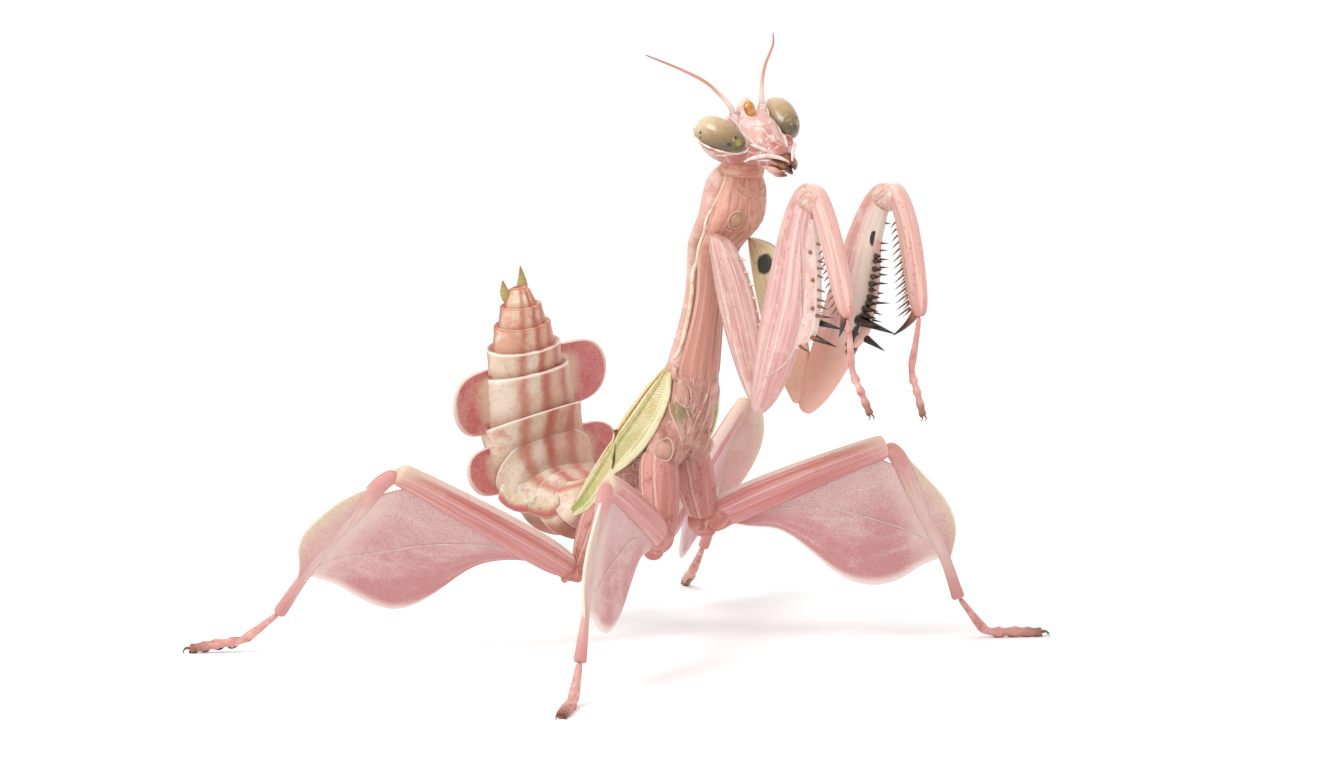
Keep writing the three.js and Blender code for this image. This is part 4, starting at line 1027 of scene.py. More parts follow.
# %% Walking legs
walking = {}
for name, side, sizes, hip, femur_turn, tibia_turn, heel_turn, toe_turn, petal_turn in WALKING_LEGS:
    leg = f"{name}_{SIDES[side]}"
    hip = Vector(hip)
    femur_way, tibia_way = leg_way(side, *femur_turn), leg_way(side, *tibia_turn)
    knee = hip + femur_way * sizes["femur"]
    ankle = knee + tibia_way * sizes["tibia"]
    heel = ankle + leg_way(side, *heel_turn) * sizes["heel"]
    toe = heel + leg_way(side, *toe_turn) * sizes["toes"]
    face = femur_way.cross(tibia_way).normalized()
    down = face.cross(femur_way).normalized()
    outlines = PETALS[name]

    def on_leg(u, v):
        return hip + femur_way * u + down * v

    coxa_root = Vector(COXA_ROOT[name, side])
    coxa_end = hip - (hip - coxa_root).normalized() * 0.15
    coxa = limb(f"{leg}_coxa", straight(coxa_root, coxa_end, COXA_PROFILE[name]), SIDEWAYS, 12)
    # The trochanter is a rounded lump under the joint, with a neck that turns into the femur.
    thick = 0.92 if name == "mid" else 0.7
    lump = hip + Vector((0, 0.25, -0.35)) * thick
    trochanter = limb(
        f"{leg}_trochanter",
        [
            (coxa_end.lerp(coxa_root, 0.1), thick * 0.5, thick * 0.5),
            (coxa_end.lerp(coxa_root, 0.04), thick * 0.86, thick * 0.9),
            (lump + Vector((0, 0, 0.15)), thick * 1.0, thick * 1.02),
            (lump + femur_way * 0.25 - Vector((0, 0, 0.3)), thick * 0.95, thick * 0.97),
            (lump + femur_way * 0.65 - Vector((0, 0, 0.5)), thick * 0.72, thick * 0.72),
            (lump + femur_way * 1.0 - Vector((0, 0, 0.5)), thick * 0.4, thick * 0.4),
        ],
        SIDEWAYS,
        12,
    )
    neck_stations = straight(hip + down * 0.22, hip + femur_way * 2.2 + down * 0.22, [(0, thick * 0.5, thick * 0.5), (0.1, thick * 0.92, thick * 0.85), (0.5, thick * 0.98, thick * 0.8), (0.85, thick * 0.8, thick * 0.62), (1, thick * 0.5, thick * 0.4)])
    trochanter = joined(f"{leg}_trochanter", [trochanter, limb("trochanter_neck", neck_stations, down, 12)])
    # The femur is a spindle, deepest near its root, that ends square at the knee.
    shape = [
        (0.02, 0.3, 0.25, 0.05), (0.03, 0.66, 0.48, 0.05), (0.08, 0.98, 0.66, 0.05), (0.2, 1.12, 0.74, 0.0), (0.4, 1.08, 0.68, 0.0),
        (0.65, 0.96, 0.6, 0.05), (0.88, 0.82, 0.54, 0.15), (0.96, 0.8, 0.5, 0.25), (0.992, 0.74, 0.46, 0.28), (1.0, 0.4, 0.28, 0.28),
    ]
    shaft = limb(f"{leg}_femur", straight(hip, knee, shape, down), down, 14)
    rims = along_curve([on_leg(*p) for p in outlines["femur"]], 17)
    top = along_curve([on_leg(*p) for p in outlines["top"]], 4)
    roots = [hip.lerp(top[0], 0.02 + 0.98 * i / 13) for i in range(14)] + top[1:]
    petal = leaf(f"{leg}_petal", roots, rims, face, rows=10, thick=0.22, raised=[0, 0.04, 0.08, 0.1, 0.1, 0.1, 0.1, 0.08, 0.06, 0.03, 0])

    veins = []
    for way in (-0.4, 0.4):
        veins.append(seam_on(petal, [on_leg(*p) + face * way for p in outlines["vein"]], 0.055, 20))
    vein = joined(f"{leg}_vein", veins)

    shin = along_curve([on_leg(*p) for p in outlines["shin"]], 12)
    if leg == "hind_left":
        roots, rims = (along_curve(points, 13) for points in TURNED_PETAL)
        face_petal = TURNED_FACE
    else:
        rims = along_curve([on_leg(*p) for p in outlines["tibia"]], 13)
        roots = along_curve(shin[2:], 13)
        face_petal = face
    outer_petal = leaf(f"{leg}_outer_petal", roots, rims, face_petal, rows=5, thick=0.22, raised=[0, 0.03, 0.05, 0.05, 0.03, 0])
    lower = [shin[-1].lerp(ankle, share) for share in (0.5, 0.85, 0.95, 1.0)]
    widths = [(0.4, 0.34), (0.56, 0.46), (0.56, 0.44), (0.53, 0.36), (0.5, 0.28), (0.46, 0.21), (0.44, 0.17), (0.42, 0.16), (0.4, 0.16), (0.38, 0.18), (0.36, 0.22), (0.36, 0.28), (0.38, 0.34), (0.42, 0.38), (0.42, 0.38), (0.3, 0.28)]
    tibia = limb(f"{leg}_tibia", [(at, thick_there, wide_there) for at, (wide_there, thick_there) in zip(shin + lower, widths)], face, 12)
    sole = -Vector((0, 0, 1))
    foot, foot_pads = foot_pieces(
        f"{leg}_foot", [ankle - tibia_way * 0.2, ankle.lerp(heel, 0.5), heel, heel.lerp(toe, 0.5), toe], 0.38, [0.46, 0.61, 0.75, 0.87, 1.0], (toe - heel).cross(sole).normalized(), sole
    )
    walking[leg] = {"coxa": coxa, "trochanter": trochanter, "femur": shaft, "petal": petal, "outer_petal": outer_petal, "vein": vein, "tibia": tibia, "foot": foot, "foot_pads": foot_pads}

# %% [markdown]
# ## Grasping legs
# A grasping leg folds like a pocket knife. The femur is broad and carries a thin flange with two rows of
# spines, and the tibia closes on it with a row of its own and a hooked claw.

# %% Sizes of the grasping legs
FORELEG = {"coxa": 10.1, "femur": 13.8, "tibia": 7.7, "heel": 3.15, "toes": 2.85}
# Side, root, outward and upward angles of the coxa, femur, tibia, heel and toes, and the bow of the tibia.
FORELEGS = [
    (RIGHT, (-2.09, -6.18, 25.69), (-0.5, -70.5), (5.0, 67.2), (0.4, -66.7), (-12.8, -97), (-2.6, -62), 0.5),
    (LEFT, (1.85, -5.97, 25.34), (-0.9, -67.4), (5.0, 67.3), (-0.2, -68.7), (-9.8, -94), (-4.0, -67), 0.95),
]
# Share of the way down, half width, half depth, and how far it is set forwards.
FORE_COXA_PROFILE = [
    (-0.02, 0.35, 0.6, 0.1), (-0.01, 0.52, 0.98, 0.15), (0.05, 0.62, 1.1, 0.2), (0.15, 0.66, 1.28, 0.25), (0.35, 0.66, 1.48, 0.2),
    (0.6, 0.62, 1.4, 0.1), (0.85, 0.55, 1.02, 0.0), (0.96, 0.48, 0.72, 0.0), (0.985, 0.45, 0.66, 0.0), (0.99, 0.25, 0.35, 0.0),
]
# The top of the coxa is cut at a slant, lower in front.
COXA_SLANT = [0.75, 0.75, 0.65, 0.45, 0.15, 0, 0, 0, 0, 0]
# Share of the way up the femur, half width, and how far it reaches back and towards the grip.
FEMUR_BODY = {
    RIGHT: [
        (-0.045, 0.25, 0.35, 0.25), (-0.03, 0.42, 0.6, 0.5), (0.06, 0.62, 0.88, 1.2), (0.19, 0.74, 1.15, 1.65), (0.3, 0.78, 1.34, 1.85),
        (0.42, 0.78, 1.47, 2.0), (0.525, 0.76, 1.5, 1.95), (0.624, 0.72, 1.6, 1.6), (0.76, 0.66, 1.64, 1.05), (0.86, 0.62, 1.58, 0.8),
        (0.93, 0.58, 1.42, 0.7), (0.985, 0.5, 1.1, 0.5), (1.015, 0.42, 0.7, 0.3), (1.025, 0.2, 0.3, 0.1),
    ],
    LEFT: [
        (-0.045, 0.25, 0.3, 0.3), (-0.03, 0.42, 0.5, 0.65), (0.06, 0.62, 0.75, 1.35), (0.19, 0.74, 0.98, 1.85), (0.3, 0.78, 1.15, 2.1),
        (0.42, 0.78, 1.3, 2.15), (0.525, 0.76, 1.4, 1.95), (0.624, 0.72, 1.5, 1.5), (0.76, 0.66, 1.6, 0.85), (0.86, 0.62, 1.52, 0.6),
        (0.93, 0.58, 1.36, 0.6), (0.985, 0.5, 1.05, 0.5), (1.015, 0.42, 0.65, 0.3), (1.025, 0.2, 0.3, 0.1),
    ],
}
# The flange's edge, as shares of the way up the femur and distances towards the grip.
FLANGE = {
    RIGHT: [(0.3, 1.7), (0.36, 2.1), (0.4, 2.75), (0.45, 2.95), (0.51, 2.85), (0.56, 2.72), (0.616, 2.5), (0.68, 2.2), (0.737, 1.9), (0.8, 1.5), (0.86, 1.1), (0.91, 0.8)],
    LEFT: [(0.3, 1.9), (0.36, 2.25), (0.4, 2.5), (0.45, 2.45), (0.51, 2.32), (0.56, 2.2), (0.616, 1.95), (0.68, 1.6), (0.737, 1.2), (0.8, 0.85), (0.86, 0.7), (0.91, 0.6)],
}
FORE_TIBIA_PROFILE = [
    (-0.02, 0.3, 0.4, 0.5), (0.0, 0.42, 0.55, 0.55), (0.06, 0.48, 0.68, 0.85), (0.25, 0.46, 0.76, 1.0), (0.5, 0.44, 0.8, 0.75), (0.75, 0.42, 0.78, 0.35),
    (0.9, 0.38, 0.66, 0.12), (0.97, 0.32, 0.48, 0.0), (1.0, 0.2, 0.28, -0.1),
]


def foreleg_way(side, outwards, up):
    """The direction of a foreleg part: forwards, then outwards by the first angle and up by the second."""
    turn, rise = math.radians(outwards), math.radians(up)
    return Vector((side * math.sin(turn), -math.cos(rise) * math.cos(turn), math.sin(rise) * math.cos(turn)))


def grip_way(along, towards):
    square = along.cross(SIDEWAYS).normalized()
    return square * math.copysign(1, square.dot(towards))


# %% [markdown]
# The spines are listed by where they stand and where they point: a share of the way up the femur from the
# elbow and a distance towards the grip, for the root and then for the tip. The outer row is brown and short,
# the inner row is black, and three long spines near the middle of the femur do the holding.

# %% Spine tables
OUTER_SPINES = {
    RIGHT: [
        (0.815, 1.5, 0.826, 2.07), (0.748, 1.95, 0.766, 2.57), (0.719, 2.05, 0.74, 2.73), (0.688, 2.2, 0.7, 2.8), (0.63, 2.45, 0.649, 3.22),
        (0.59, 2.6, 0.612, 3.46), (0.565, 2.75, 0.584, 3.71), (0.522, 2.8, 0.566, 4.34), (0.419, 2.8, 0.454, 4.34), (0.351, 2.1, 0.359, 3.15),
    ],
    LEFT: [
        (0.872, 0.5, 0.882, 0.95), (0.787, 0.78, 0.801, 1.33), (0.758, 0.95, 0.773, 1.43), (0.724, 1.2, 0.741, 1.75), (0.692, 1.4, 0.711, 1.95),
        (0.666, 1.6, 0.681, 2.14), (0.631, 1.8, 0.648, 2.37), (0.588, 1.95, 0.603, 2.35), (0.549, 2.1, 0.579, 3.05), (0.509, 2.25, 0.514, 2.8),
        (0.473, 2.2, 0.486, 2.98),
    ],
}
INNER_SPINES = [
    (0.726, 0.89, 0.742, 1.36), (0.705, 0.97, 0.724, 1.63), (0.672, 1.13, 0.692, 1.79), (0.639, 1.22, 0.663, 1.85), (0.608, 1.29, 0.634, 2.03),
    (0.585, 1.46, 0.6, 1.93), (0.553, 1.53, 0.583, 2.38), (0.526, 1.61, 0.555, 2.44), (0.497, 1.5, 0.525, 2.61), (0.466, 1.57, 0.494, 2.68),
    (0.44, 1.39, 0.481, 4.44), (0.388, 2.5, 0.39, 4.14),
]
# Share down the tibia from the knee, distance towards the femur at the root, and how far the tip is from it.
TIBIA_SPINES = {
    RIGHT: [(0.446 + 0.0495 * i, 0.44 + 0.015 * i, 0.022 + 0.0022 * i, 0.2 + 0.034 * i) for i in range(10)],
    LEFT: [(0.25 + 0.0505 * i, -0.05 + 0.055 * i, 0.03 + 0.0002 * i, 0.26 + 0.056 * i) for i in range(14)],
}

# %% [markdown]
# Thin pale ridges run down the outside of the coxa and of the femur. They are listed for the right leg, whose
# outside faces the camera, and mirrored for the left.

# %% Ridges of the grasping legs
COXA_RIDGES = [
    [(-2.3, -6.0, 25.7), (-2.6, -6.35, 24.6), (-2.71, -7.32, 22.68), (-2.59, -7.99, 19.33), (-2.46, -8.58, 17.34)],
    [(-2.3, -6.1, 25.85), (-2.55, -7.0, 25.35), (-2.6, -7.8, 24.3), (-2.5, -8.6, 22.6)],
]
FEMUR_RIDGE = [(-2.73, -9.87, 17.56), (-2.83, -11.45, 18.12), (-2.65, -12.51, 18.96), (-2.76, -13.38, 20.13), (-2.95, -13.86, 21.93), (-3.26, -14.07, 24.16), (-3.51, -14.23, 26.38), (-3.64, -14.28, 27.48)]
TUBERCLES = [(0.77, 1.5), (0.663, 2.2), (0.547, 2.7)]

# %% Grasping legs
grasping = {}
for side, root, coxa_turn, femur_turn, tibia_turn, heel_turn, toe_turn, tibia_bow in FORELEGS:
    leg = f"fore_{SIDES[side]}"
    root = Vector(root)
    elbow = root + foreleg_way(side, *coxa_turn) * FORELEG["coxa"]
    femur_way, tibia_way = foreleg_way(side, *femur_turn), foreleg_way(side, *tibia_turn)
    knee = elbow + femur_way * FORELEG["femur"]
    ankle = knee + tibia_way * FORELEG["tibia"]
    heel = ankle + foreleg_way(side, *heel_turn) * FORELEG["heel"]
    toe = heel + foreleg_way(side, *toe_turn) * FORELEG["toes"]
    femur_grip, tibia_grip = grip_way(femur_way, ankle - elbow), grip_way(tibia_way, elbow - ankle)

    coxa_way = (elbow - root).normalized()
    ahead = coxa_way.cross(SIDEWAYS).normalized()
    ahead *= math.copysign(1, -ahead.y)
    ways = [(coxa_way - ahead * slant).normalized() for slant in COXA_SLANT]
    profile = FORE_COXA_PROFILE
    if side == LEFT:
        profile = [(share, wide, deep * 1.16, bow - 0.22) for share, wide, deep, bow in profile]
    coxa = limb(f"{leg}_coxa", straight(root, elbow, profile, ahead), SIDEWAYS, 14, ways=ways)
    teeth = []
    for share in (0.16, 0.24, 0.32, 0.4, 0.48, 0.56):
        deep = float(np.interp(share, [row[0] for row in FORE_COXA_PROFILE], [row[2] + row[3] for row in FORE_COXA_PROFILE]))
        at = root.lerp(elbow, share) + ahead * (deep - 0.12)
        teeth.append(spine(at, at + ahead * 0.42 + coxa_way * 0.22, 0.12))
    for marks in COXA_RIDGES:
        teeth.append(seam_on(coxa, [Vector((x * -side, y, z)) for x, y, z in marks], 0.045, 20))
    teeth = joined(f"{leg}_coxa_teeth", teeth)
    stations = []
    for share, wide, back, front in FEMUR_BODY[side]:
        stations.append((elbow.lerp(knee, share) + femur_grip * ((front - back) / 2), wide, (front + back) / 2))
    femur = limb(f"{leg}_femur", stations, SIDEWAYS, 16)

    def by_femur(share, grip, outwards=0.0):
        return elbow.lerp(knee, share) + femur_grip * grip + SIDEWAYS * outwards

    edge = along_curve([by_femur(*p) for p in FLANGE[side]], 17)
    inner = along_curve([by_femur(share, grip - 0.9 - 0.5 * math.sin(math.pi * (share - 0.3) / 0.6)) for share, grip in FLANGE[side]], 17)
    flange = leaf(f"{leg}_flange", inner, edge, SIDEWAYS, rows=4, thick=0.62)

    dark, black, ridges = [], [], []
    ridges.append(seam_on(femur, [Vector((x * -side, y, z)) for x, y, z in FEMUR_RIDGE], 0.065, 24))
    if side == RIGHT:
        for share, grip in TUBERCLES:
            dark.append(ball("tubercle", by_femur(share, grip - 0.2, 0.33 * side), (0.14, 0.15, 0.12), None, 12, 8))
    for from_share, from_grip, to_share, to_grip in OUTER_SPINES[side]:
        a, b = by_femur(from_share, from_grip, 0.12 * side), by_femur(to_share, to_grip, 0.3 * side)
        dark.append(spine(a, b, 0.07 + 0.035 * (b - a).length))
    # Seen from the right front, a spine that stands further to the right is also higher and nearer the grip.
    for from_share, from_grip, to_share, to_grip in INNER_SPINES:
        inwards = (0.4, 0.6) if side == LEFT else (0.0, -0.3 if to_grip < 4 else 0.0)
        a = by_femur(from_share + 0.019, from_grip + inwards[0], -0.42 * side)
        b = by_femur(to_share + 0.026, to_grip + inwards[1], -0.75 * side)
        black.append(spine(a, b, 0.12 + 0.07 * (b - a).length))

    stations = straight(knee, ankle, [(share, wide, deep, bow * tibia_bow) for share, wide, deep, bow in FORE_TIBIA_PROFILE], -tibia_grip)
    tibia = limb(f"{leg}_tibia", stations, SIDEWAYS, 14)

    def by_tibia(share, grip, outwards=0.0):
        return knee.lerp(ankle, share) + tibia_grip * grip + SIDEWAYS * outwards

    thin = []
    for share, grip, share_more, grip_more in TIBIA_SPINES[side]:
        for row in (-1, 1):
            a = by_tibia(share, grip - 0.12, 0.16 * row)
            b = by_tibia(share + share_more, grip + grip_more, 0.3 * row)
            thin.append(spine(a, b, 0.06 + 0.03 * (b - a).length))
    if side == LEFT:
        claw_points = [(0.9, -0.1), (0.97, 0.45), (1.02, 1.4), (1.049, 2.55)]
    else:
        claw_points = [(0.92, 0.1), (1.0, 0.45), (1.06, 0.8), (1.1, 1.15)]
    claw = hook(f"{leg}_claw", [by_tibia(*p) for p in claw_points], 0.3, 10)
    # The knee is a rounded hood over the joint, with folds where the skin gathers.
    joint = knee + Vector((0, 0, -0.3))
    knee_cap = [ball(f"{leg}_knee", joint, (0.72, 1.12, 0.84), None, 32, 20)]
    for height, reach in ((0.3, 0.75), (-0.02, 0.95), (-0.32, 0.85)):
        for way in (-1, 1):
            fold = [joint + Vector((0.7 * way, -reach + reach * 2 * i / 6, height + 0.22 * math.sin(i * 1.1))) for i in range(7)]
            knee_cap.append(seam_on(knee_cap[0], fold, 0.04, 16))
    knee_cap = joined(f"{leg}_knee", knee_cap)
    foot, foot_pads = foot_pieces(
        f"{leg}_foot", [ankle - tibia_way * 0.25, ankle.lerp(heel, 0.5), heel, heel.lerp(toe, 0.5), toe], 0.27, [0.53, 0.67, 0.79, 0.9, 1.0], SIDEWAYS, foreleg_way(side, 0, -160)
    )
    grasping[leg] = {
        "coxa": coxa, "teeth": teeth, "femur": femur, "flange": flange, "tibia": tibia, "knee": knee_cap, "foot": foot, "foot_pads": foot_pads,
        "claw": claw, "ridges": joined(f"{leg}_ridges", ridges), "dark_spines": joined(f"{leg}_outer_spines", dark), "black_spines": joined(f"{leg}_inner_spines", black), "thin_spines": joined(f"{leg}_tibia_spines", thin),
    }
# %% [markdown]
# ## Finishes
# An insect's colours lie in layers: a ground colour, then paler and darker clouds, fine dots, a network of pale
# lines, and stripes that run with the shape. Each kind of layer is a node group that takes the colour below it
# and gives back the colour with its own paint on top, so a finish is a list of layers. Every group reads a
# place, which is either the point in space or the place on the piece that its points remember.

# %% Node helpers
def add_node(tree, kind, inputs=(), **settings):
    """Adds a node. Inputs that are sockets are linked, and the others are set."""
    node = tree.nodes.new("ShaderNode" + kind)
    for name, value in settings.items():
        setattr(node, name, value)
    for key, value in inputs.items() if isinstance(inputs, dict) else enumerate(inputs):
        if isinstance(value, bpy.types.NodeSocket):
            tree.links.new(value, node.inputs[key])
        elif value is not None:
            node.inputs[key].default_value = value
    return node


def new_layer(name, **numbers):
    """Starts a layer group: colour, paint, strength, place and stretch, then numbers of its own."""
    tree = bpy.data.node_groups.new(name, "ShaderNodeTree")
    for label, kind in (("Colour", "Color"), ("Paint", "Color"), ("Strength", "Float"), ("Place", "Vector"), ("Stretch", "Vector")):
        tree.interface.new_socket(label, in_out="INPUT", socket_type="NodeSocket" + kind)
    for label, value in numbers.items():
        tree.interface.new_socket(label, in_out="INPUT", socket_type="NodeSocketFloat").default_value = value
    tree.interface.new_socket("Colour", in_out="OUTPUT", socket_type="NodeSocketColor")
    given = tree.nodes.new("NodeGroupInput").outputs
    spread = add_node(tree, "VectorMath", [given["Place"], given["Stretch"]], operation="MULTIPLY").outputs[0]
    return tree, given, spread


def end_layer(tree, given, mask):
    """Mixes the paint over the colour where the mask says so."""
    factor = add_node(tree, "Math", [mask, given["Strength"]], operation="MULTIPLY", use_clamp=True).outputs[0]
    mixed = add_node(tree, "Mix", {0: factor, 6: given["Colour"], 7: given["Paint"]}, data_type="RGBA").outputs[2]
    tree.links.new(mixed, tree.nodes.new("NodeGroupOutput").inputs[0])


def between(tree, value, low, high):
    """0 below low and 1 above high, with a soft step between."""
    return add_node(tree, "MapRange", {0: value, 1: low, 2: high}, interpolation_type="SMOOTHSTEP").outputs[0]


def wobbled(tree, value, spread, given):
    """Adds a little noise to a value, so that an edge isn't ruler-straight."""
    coordinates = add_node(tree, "TexCoord").outputs["Object"]
    noise = add_node(tree, "TexNoise", {"Vector": coordinates, "Scale": 1500.0, "Detail": 3.0}).outputs[0]
    centred = add_node(tree, "Math", [noise, -0.5], operation="ADD").outputs[0]
    return add_node(tree, "Math", [centred, given["Wobble"], value], operation="MULTIPLY_ADD").outputs[0]


# %% Clouds, dots and networks
tree, given, spread = new_layer("clouds", Low=0.45, High=0.6)
noise = add_node(tree, "TexNoise", {"Vector": spread, "Scale": 1.0, "Detail": 5.0, "Roughness": 0.6}).outputs[0]
end_layer(tree, given, between(tree, noise, given["Low"], given["High"]))

tree, given, spread = new_layer("dots", Radius=0.3, Share=1.0)
cells = add_node(tree, "TexVoronoi", {"Vector": spread, "Scale": 1.0})
inner = add_node(tree, "Math", [given["Radius"], 0.6], operation="MULTIPLY").outputs[0]
inside = between(tree, cells.outputs["Distance"], given["Radius"], inner)
chance = add_node(tree, "SeparateColor", [cells.outputs["Color"]]).outputs[0]
kept = add_node(tree, "Math", [chance, given["Share"]], operation="LESS_THAN").outputs[0]
end_layer(tree, given, add_node(tree, "Math", [inside, kept], operation="MULTIPLY").outputs[0])

tree, given, spread = new_layer("network", Width=0.08)
warp = add_node(tree, "TexNoise", {"Vector": spread, "Scale": 1.5, "Detail": 3.0}).outputs["Color"]
warped = add_node(tree, "VectorMath", [warp, (0.6, 0.6, 0.6), spread], operation="MULTIPLY_ADD").outputs[0]
edges = add_node(tree, "TexVoronoi", {"Vector": warped, "Scale": 1.0}, feature="DISTANCE_TO_EDGE").outputs[0]
end_layer(tree, given, between(tree, edges, given["Width"], 0.0))

# %% [markdown]
# Stripes, fades and bands follow one direction of the place: along a limb, across it, or from the root of a
# leaf to its rim. The stretch of these layers picks the direction, because the stretched place is summed up
# to one number.

# %% Stripes, fades, bands and spots
def along_direction(name, **numbers):
    tree, given, spread = new_layer(name, Wobble=0.0, **numbers)
    value = add_node(tree, "VectorMath", [spread, (1, 1, 1)], operation="DOT_PRODUCT").outputs["Value"]
    return tree, given, wobbled(tree, value, spread, given)


tree, given, value = along_direction("stripe", At=0.0, Half=0.1, Soft=0.05)
away = add_node(tree, "Math", [value, given["At"]], operation="SUBTRACT").outputs[0]
away = add_node(tree, "Math", [away], operation="ABSOLUTE").outputs[0]
outer = add_node(tree, "Math", [given["Half"], given["Soft"]], operation="ADD").outputs[0]
end_layer(tree, given, between(tree, away, outer, given["Half"]))

tree, given, value = along_direction("fade", Start=0.0, End=1.0)
end_layer(tree, given, between(tree, value, given["Start"], given["End"]))

tree, given, value = along_direction("bands", Low=0.0, High=0.8)
turns = add_node(tree, "Math", [value, math.tau], operation="MULTIPLY").outputs[0]
waves = add_node(tree, "Math", [turns], operation="SINE").outputs[0]
end_layer(tree, given, between(tree, waves, given["Low"], given["High"]))

tree, given, spread = new_layer("spot", Radius=0.5, Soft=0.3, Wobble=0.0)
tree.interface.new_socket("Centre", in_out="INPUT", socket_type="NodeSocketVector")
centre = add_node(tree, "VectorMath", [given["Centre"], given["Stretch"]], operation="MULTIPLY").outputs[0]
reach = add_node(tree, "VectorMath", [spread, centre], operation="DISTANCE").outputs["Value"]
outer = add_node(tree, "Math", [given["Radius"], given["Soft"]], operation="ADD").outputs[0]
end_layer(tree, given, between(tree, wobbled(tree, reach, spread, given), outer, given["Radius"]))

# %% [markdown]
# The skin is never quite even either. One group makes a fine relief for the bump, and another lets the
# roughness drift a little between two values.

# %% Relief and roughness
tree = bpy.data.node_groups.new("relief", "ShaderNodeTree")
for label in ("Place", "Stretch"):
    tree.interface.new_socket(label, in_out="INPUT", socket_type="NodeSocketVector")
tree.interface.new_socket("Height", in_out="OUTPUT", socket_type="NodeSocketFloat")
given = tree.nodes.new("NodeGroupInput").outputs
spread = add_node(tree, "VectorMath", [given["Place"], given["Stretch"]], operation="MULTIPLY").outputs[0]
fine = add_node(tree, "TexNoise", {"Vector": spread, "Scale": 1.0, "Detail": 6.0, "Roughness": 0.65}).outputs[0]
pits = add_node(tree, "TexVoronoi", {"Vector": spread, "Scale": 2.5}).outputs["Distance"]
height = add_node(tree, "Math", [pits, 0.4, fine], operation="MULTIPLY_ADD").outputs[0]
tree.links.new(height, tree.nodes.new("NodeGroupOutput").inputs[0])

tree = bpy.data.node_groups.new("uneven_shine", "ShaderNodeTree")
tree.interface.new_socket("Low", in_out="INPUT", socket_type="NodeSocketFloat")
tree.interface.new_socket("High", in_out="INPUT", socket_type="NodeSocketFloat")
tree.interface.new_socket("Roughness", in_out="OUTPUT", socket_type="NodeSocketFloat")
given = tree.nodes.new("NodeGroupInput").outputs
coordinates = add_node(tree, "TexCoord").outputs["Object"]
drift = add_node(tree, "TexNoise", {"Vector": coordinates, "Scale": 1200.0, "Detail": 3.0}).outputs[0]
shine = add_node(tree, "MapRange", {0: drift, 1: 0.3, 2: 0.7, 3: given["Low"], 4: given["High"]}).outputs[0]
tree.links.new(shine, tree.nodes.new("NodeGroupOutput").inputs[0])


# %% The finish maker
DEEPEN = 0.79  # the studio is bright, so every colour is mixed a little deeper than it looks


def paint(code):
    return [channel * DEEPEN for channel in hex_colour(code)[:3]] + [1]


def finish(name, base, layers, rough=0.5, relief=0.35, lift=0.02, glow=0.3, coat=0.0):
    """A material from a ground colour and its layers of (kind, paint, strength, settings).

    A layer with size works in space, with its pattern that many millimetres apart. Any other layer works on
    the place of the piece, stretched by along. Relief is the size of the skin's relief and lift its height.
    """
    material = bpy.data.materials.new(name)
    material.use_nodes = True
    tree = material.node_tree
    shader = tree.nodes["Principled BSDF"]
    shader.inputs["Subsurface Weight"].default_value = glow
    shader.inputs["Subsurface Radius"].default_value = (1.0, 0.5, 0.4)
    shader.inputs["Subsurface Scale"].default_value = 0.4 * MM
    shader.inputs["Coat Weight"].default_value = coat
    shader.inputs["Coat Roughness"].default_value = 0.1
    space = add_node(tree, "TexCoord").outputs["Object"]
    place = add_node(tree, "Attribute", attribute_name="place").outputs["Vector"]
    colour = paint(base)
    for kind, code, strength, settings in layers:
        settings = dict(settings)
        size, along = settings.pop("size", None), settings.pop("along", (1, 1, 1))
        inputs = {"Colour": colour, "Paint": paint(code), "Strength": strength}
        inputs["Place"] = space if size else place
        inputs["Stretch"] = tuple(axis / MM / size for axis in along) if size else along
        node = tree.nodes.new("ShaderNodeGroup")
        node.node_tree = bpy.data.node_groups[kind]
        for label, value in {**inputs, **settings}.items():
            if isinstance(value, bpy.types.NodeSocket):
                tree.links.new(value, node.inputs[label])
            else:
                node.inputs[label].default_value = value
        colour = node.outputs[0]
    tree.links.new(colour, shader.inputs["Base Color"])
    bumps = tree.nodes.new("ShaderNodeGroup")
    bumps.node_tree = bpy.data.node_groups["relief"]
    tree.links.new(space, bumps.inputs["Place"])
    bumps.inputs["Stretch"].default_value = (1 / MM / relief,) * 3
    bump = add_node(tree, "Bump", {"Height": bumps.outputs[0], "Distance": lift * MM, "Strength": 1.0})
    tree.links.new(bump.outputs[0], shader.inputs["Normal"])
    shine = tree.nodes.new("ShaderNodeGroup")
    shine.node_tree = bpy.data.node_groups["uneven_shine"]
    shine.inputs["Low"].default_value = rough - 0.08
    shine.inputs["High"].default_value = rough + 0.12
    tree.links.new(shine.outputs[0], shader.inputs["Roughness"])
    return material


def exported(point):
    """A modelling point in the metres of the frame, for spots that are placed in space."""
    return tuple(point * MM + ORIGIN)


ALONG, ACROSS, DEEP = (1, 0, 0), (0, 1, 0), (0, 0, 1)

# %% [markdown]
# The head is pale pink, marbled with a white network over the face and rosier on the cheeks, with painted
# shade darkening it under each eye. The eyes are a satin beige that darkens to olive at the lower rim, where a
# few small dark dots sit, and a painted highlight lightens their upper part.

# %% Finishes of the head
def head_spot(code, strength, centre, radius, soft, wobble=0.5):
    return ("spot", code, strength, {"size": 1, "Centre": exported(on_head(*centre)), "Radius": radius, "Soft": soft, "Wobble": wobble})


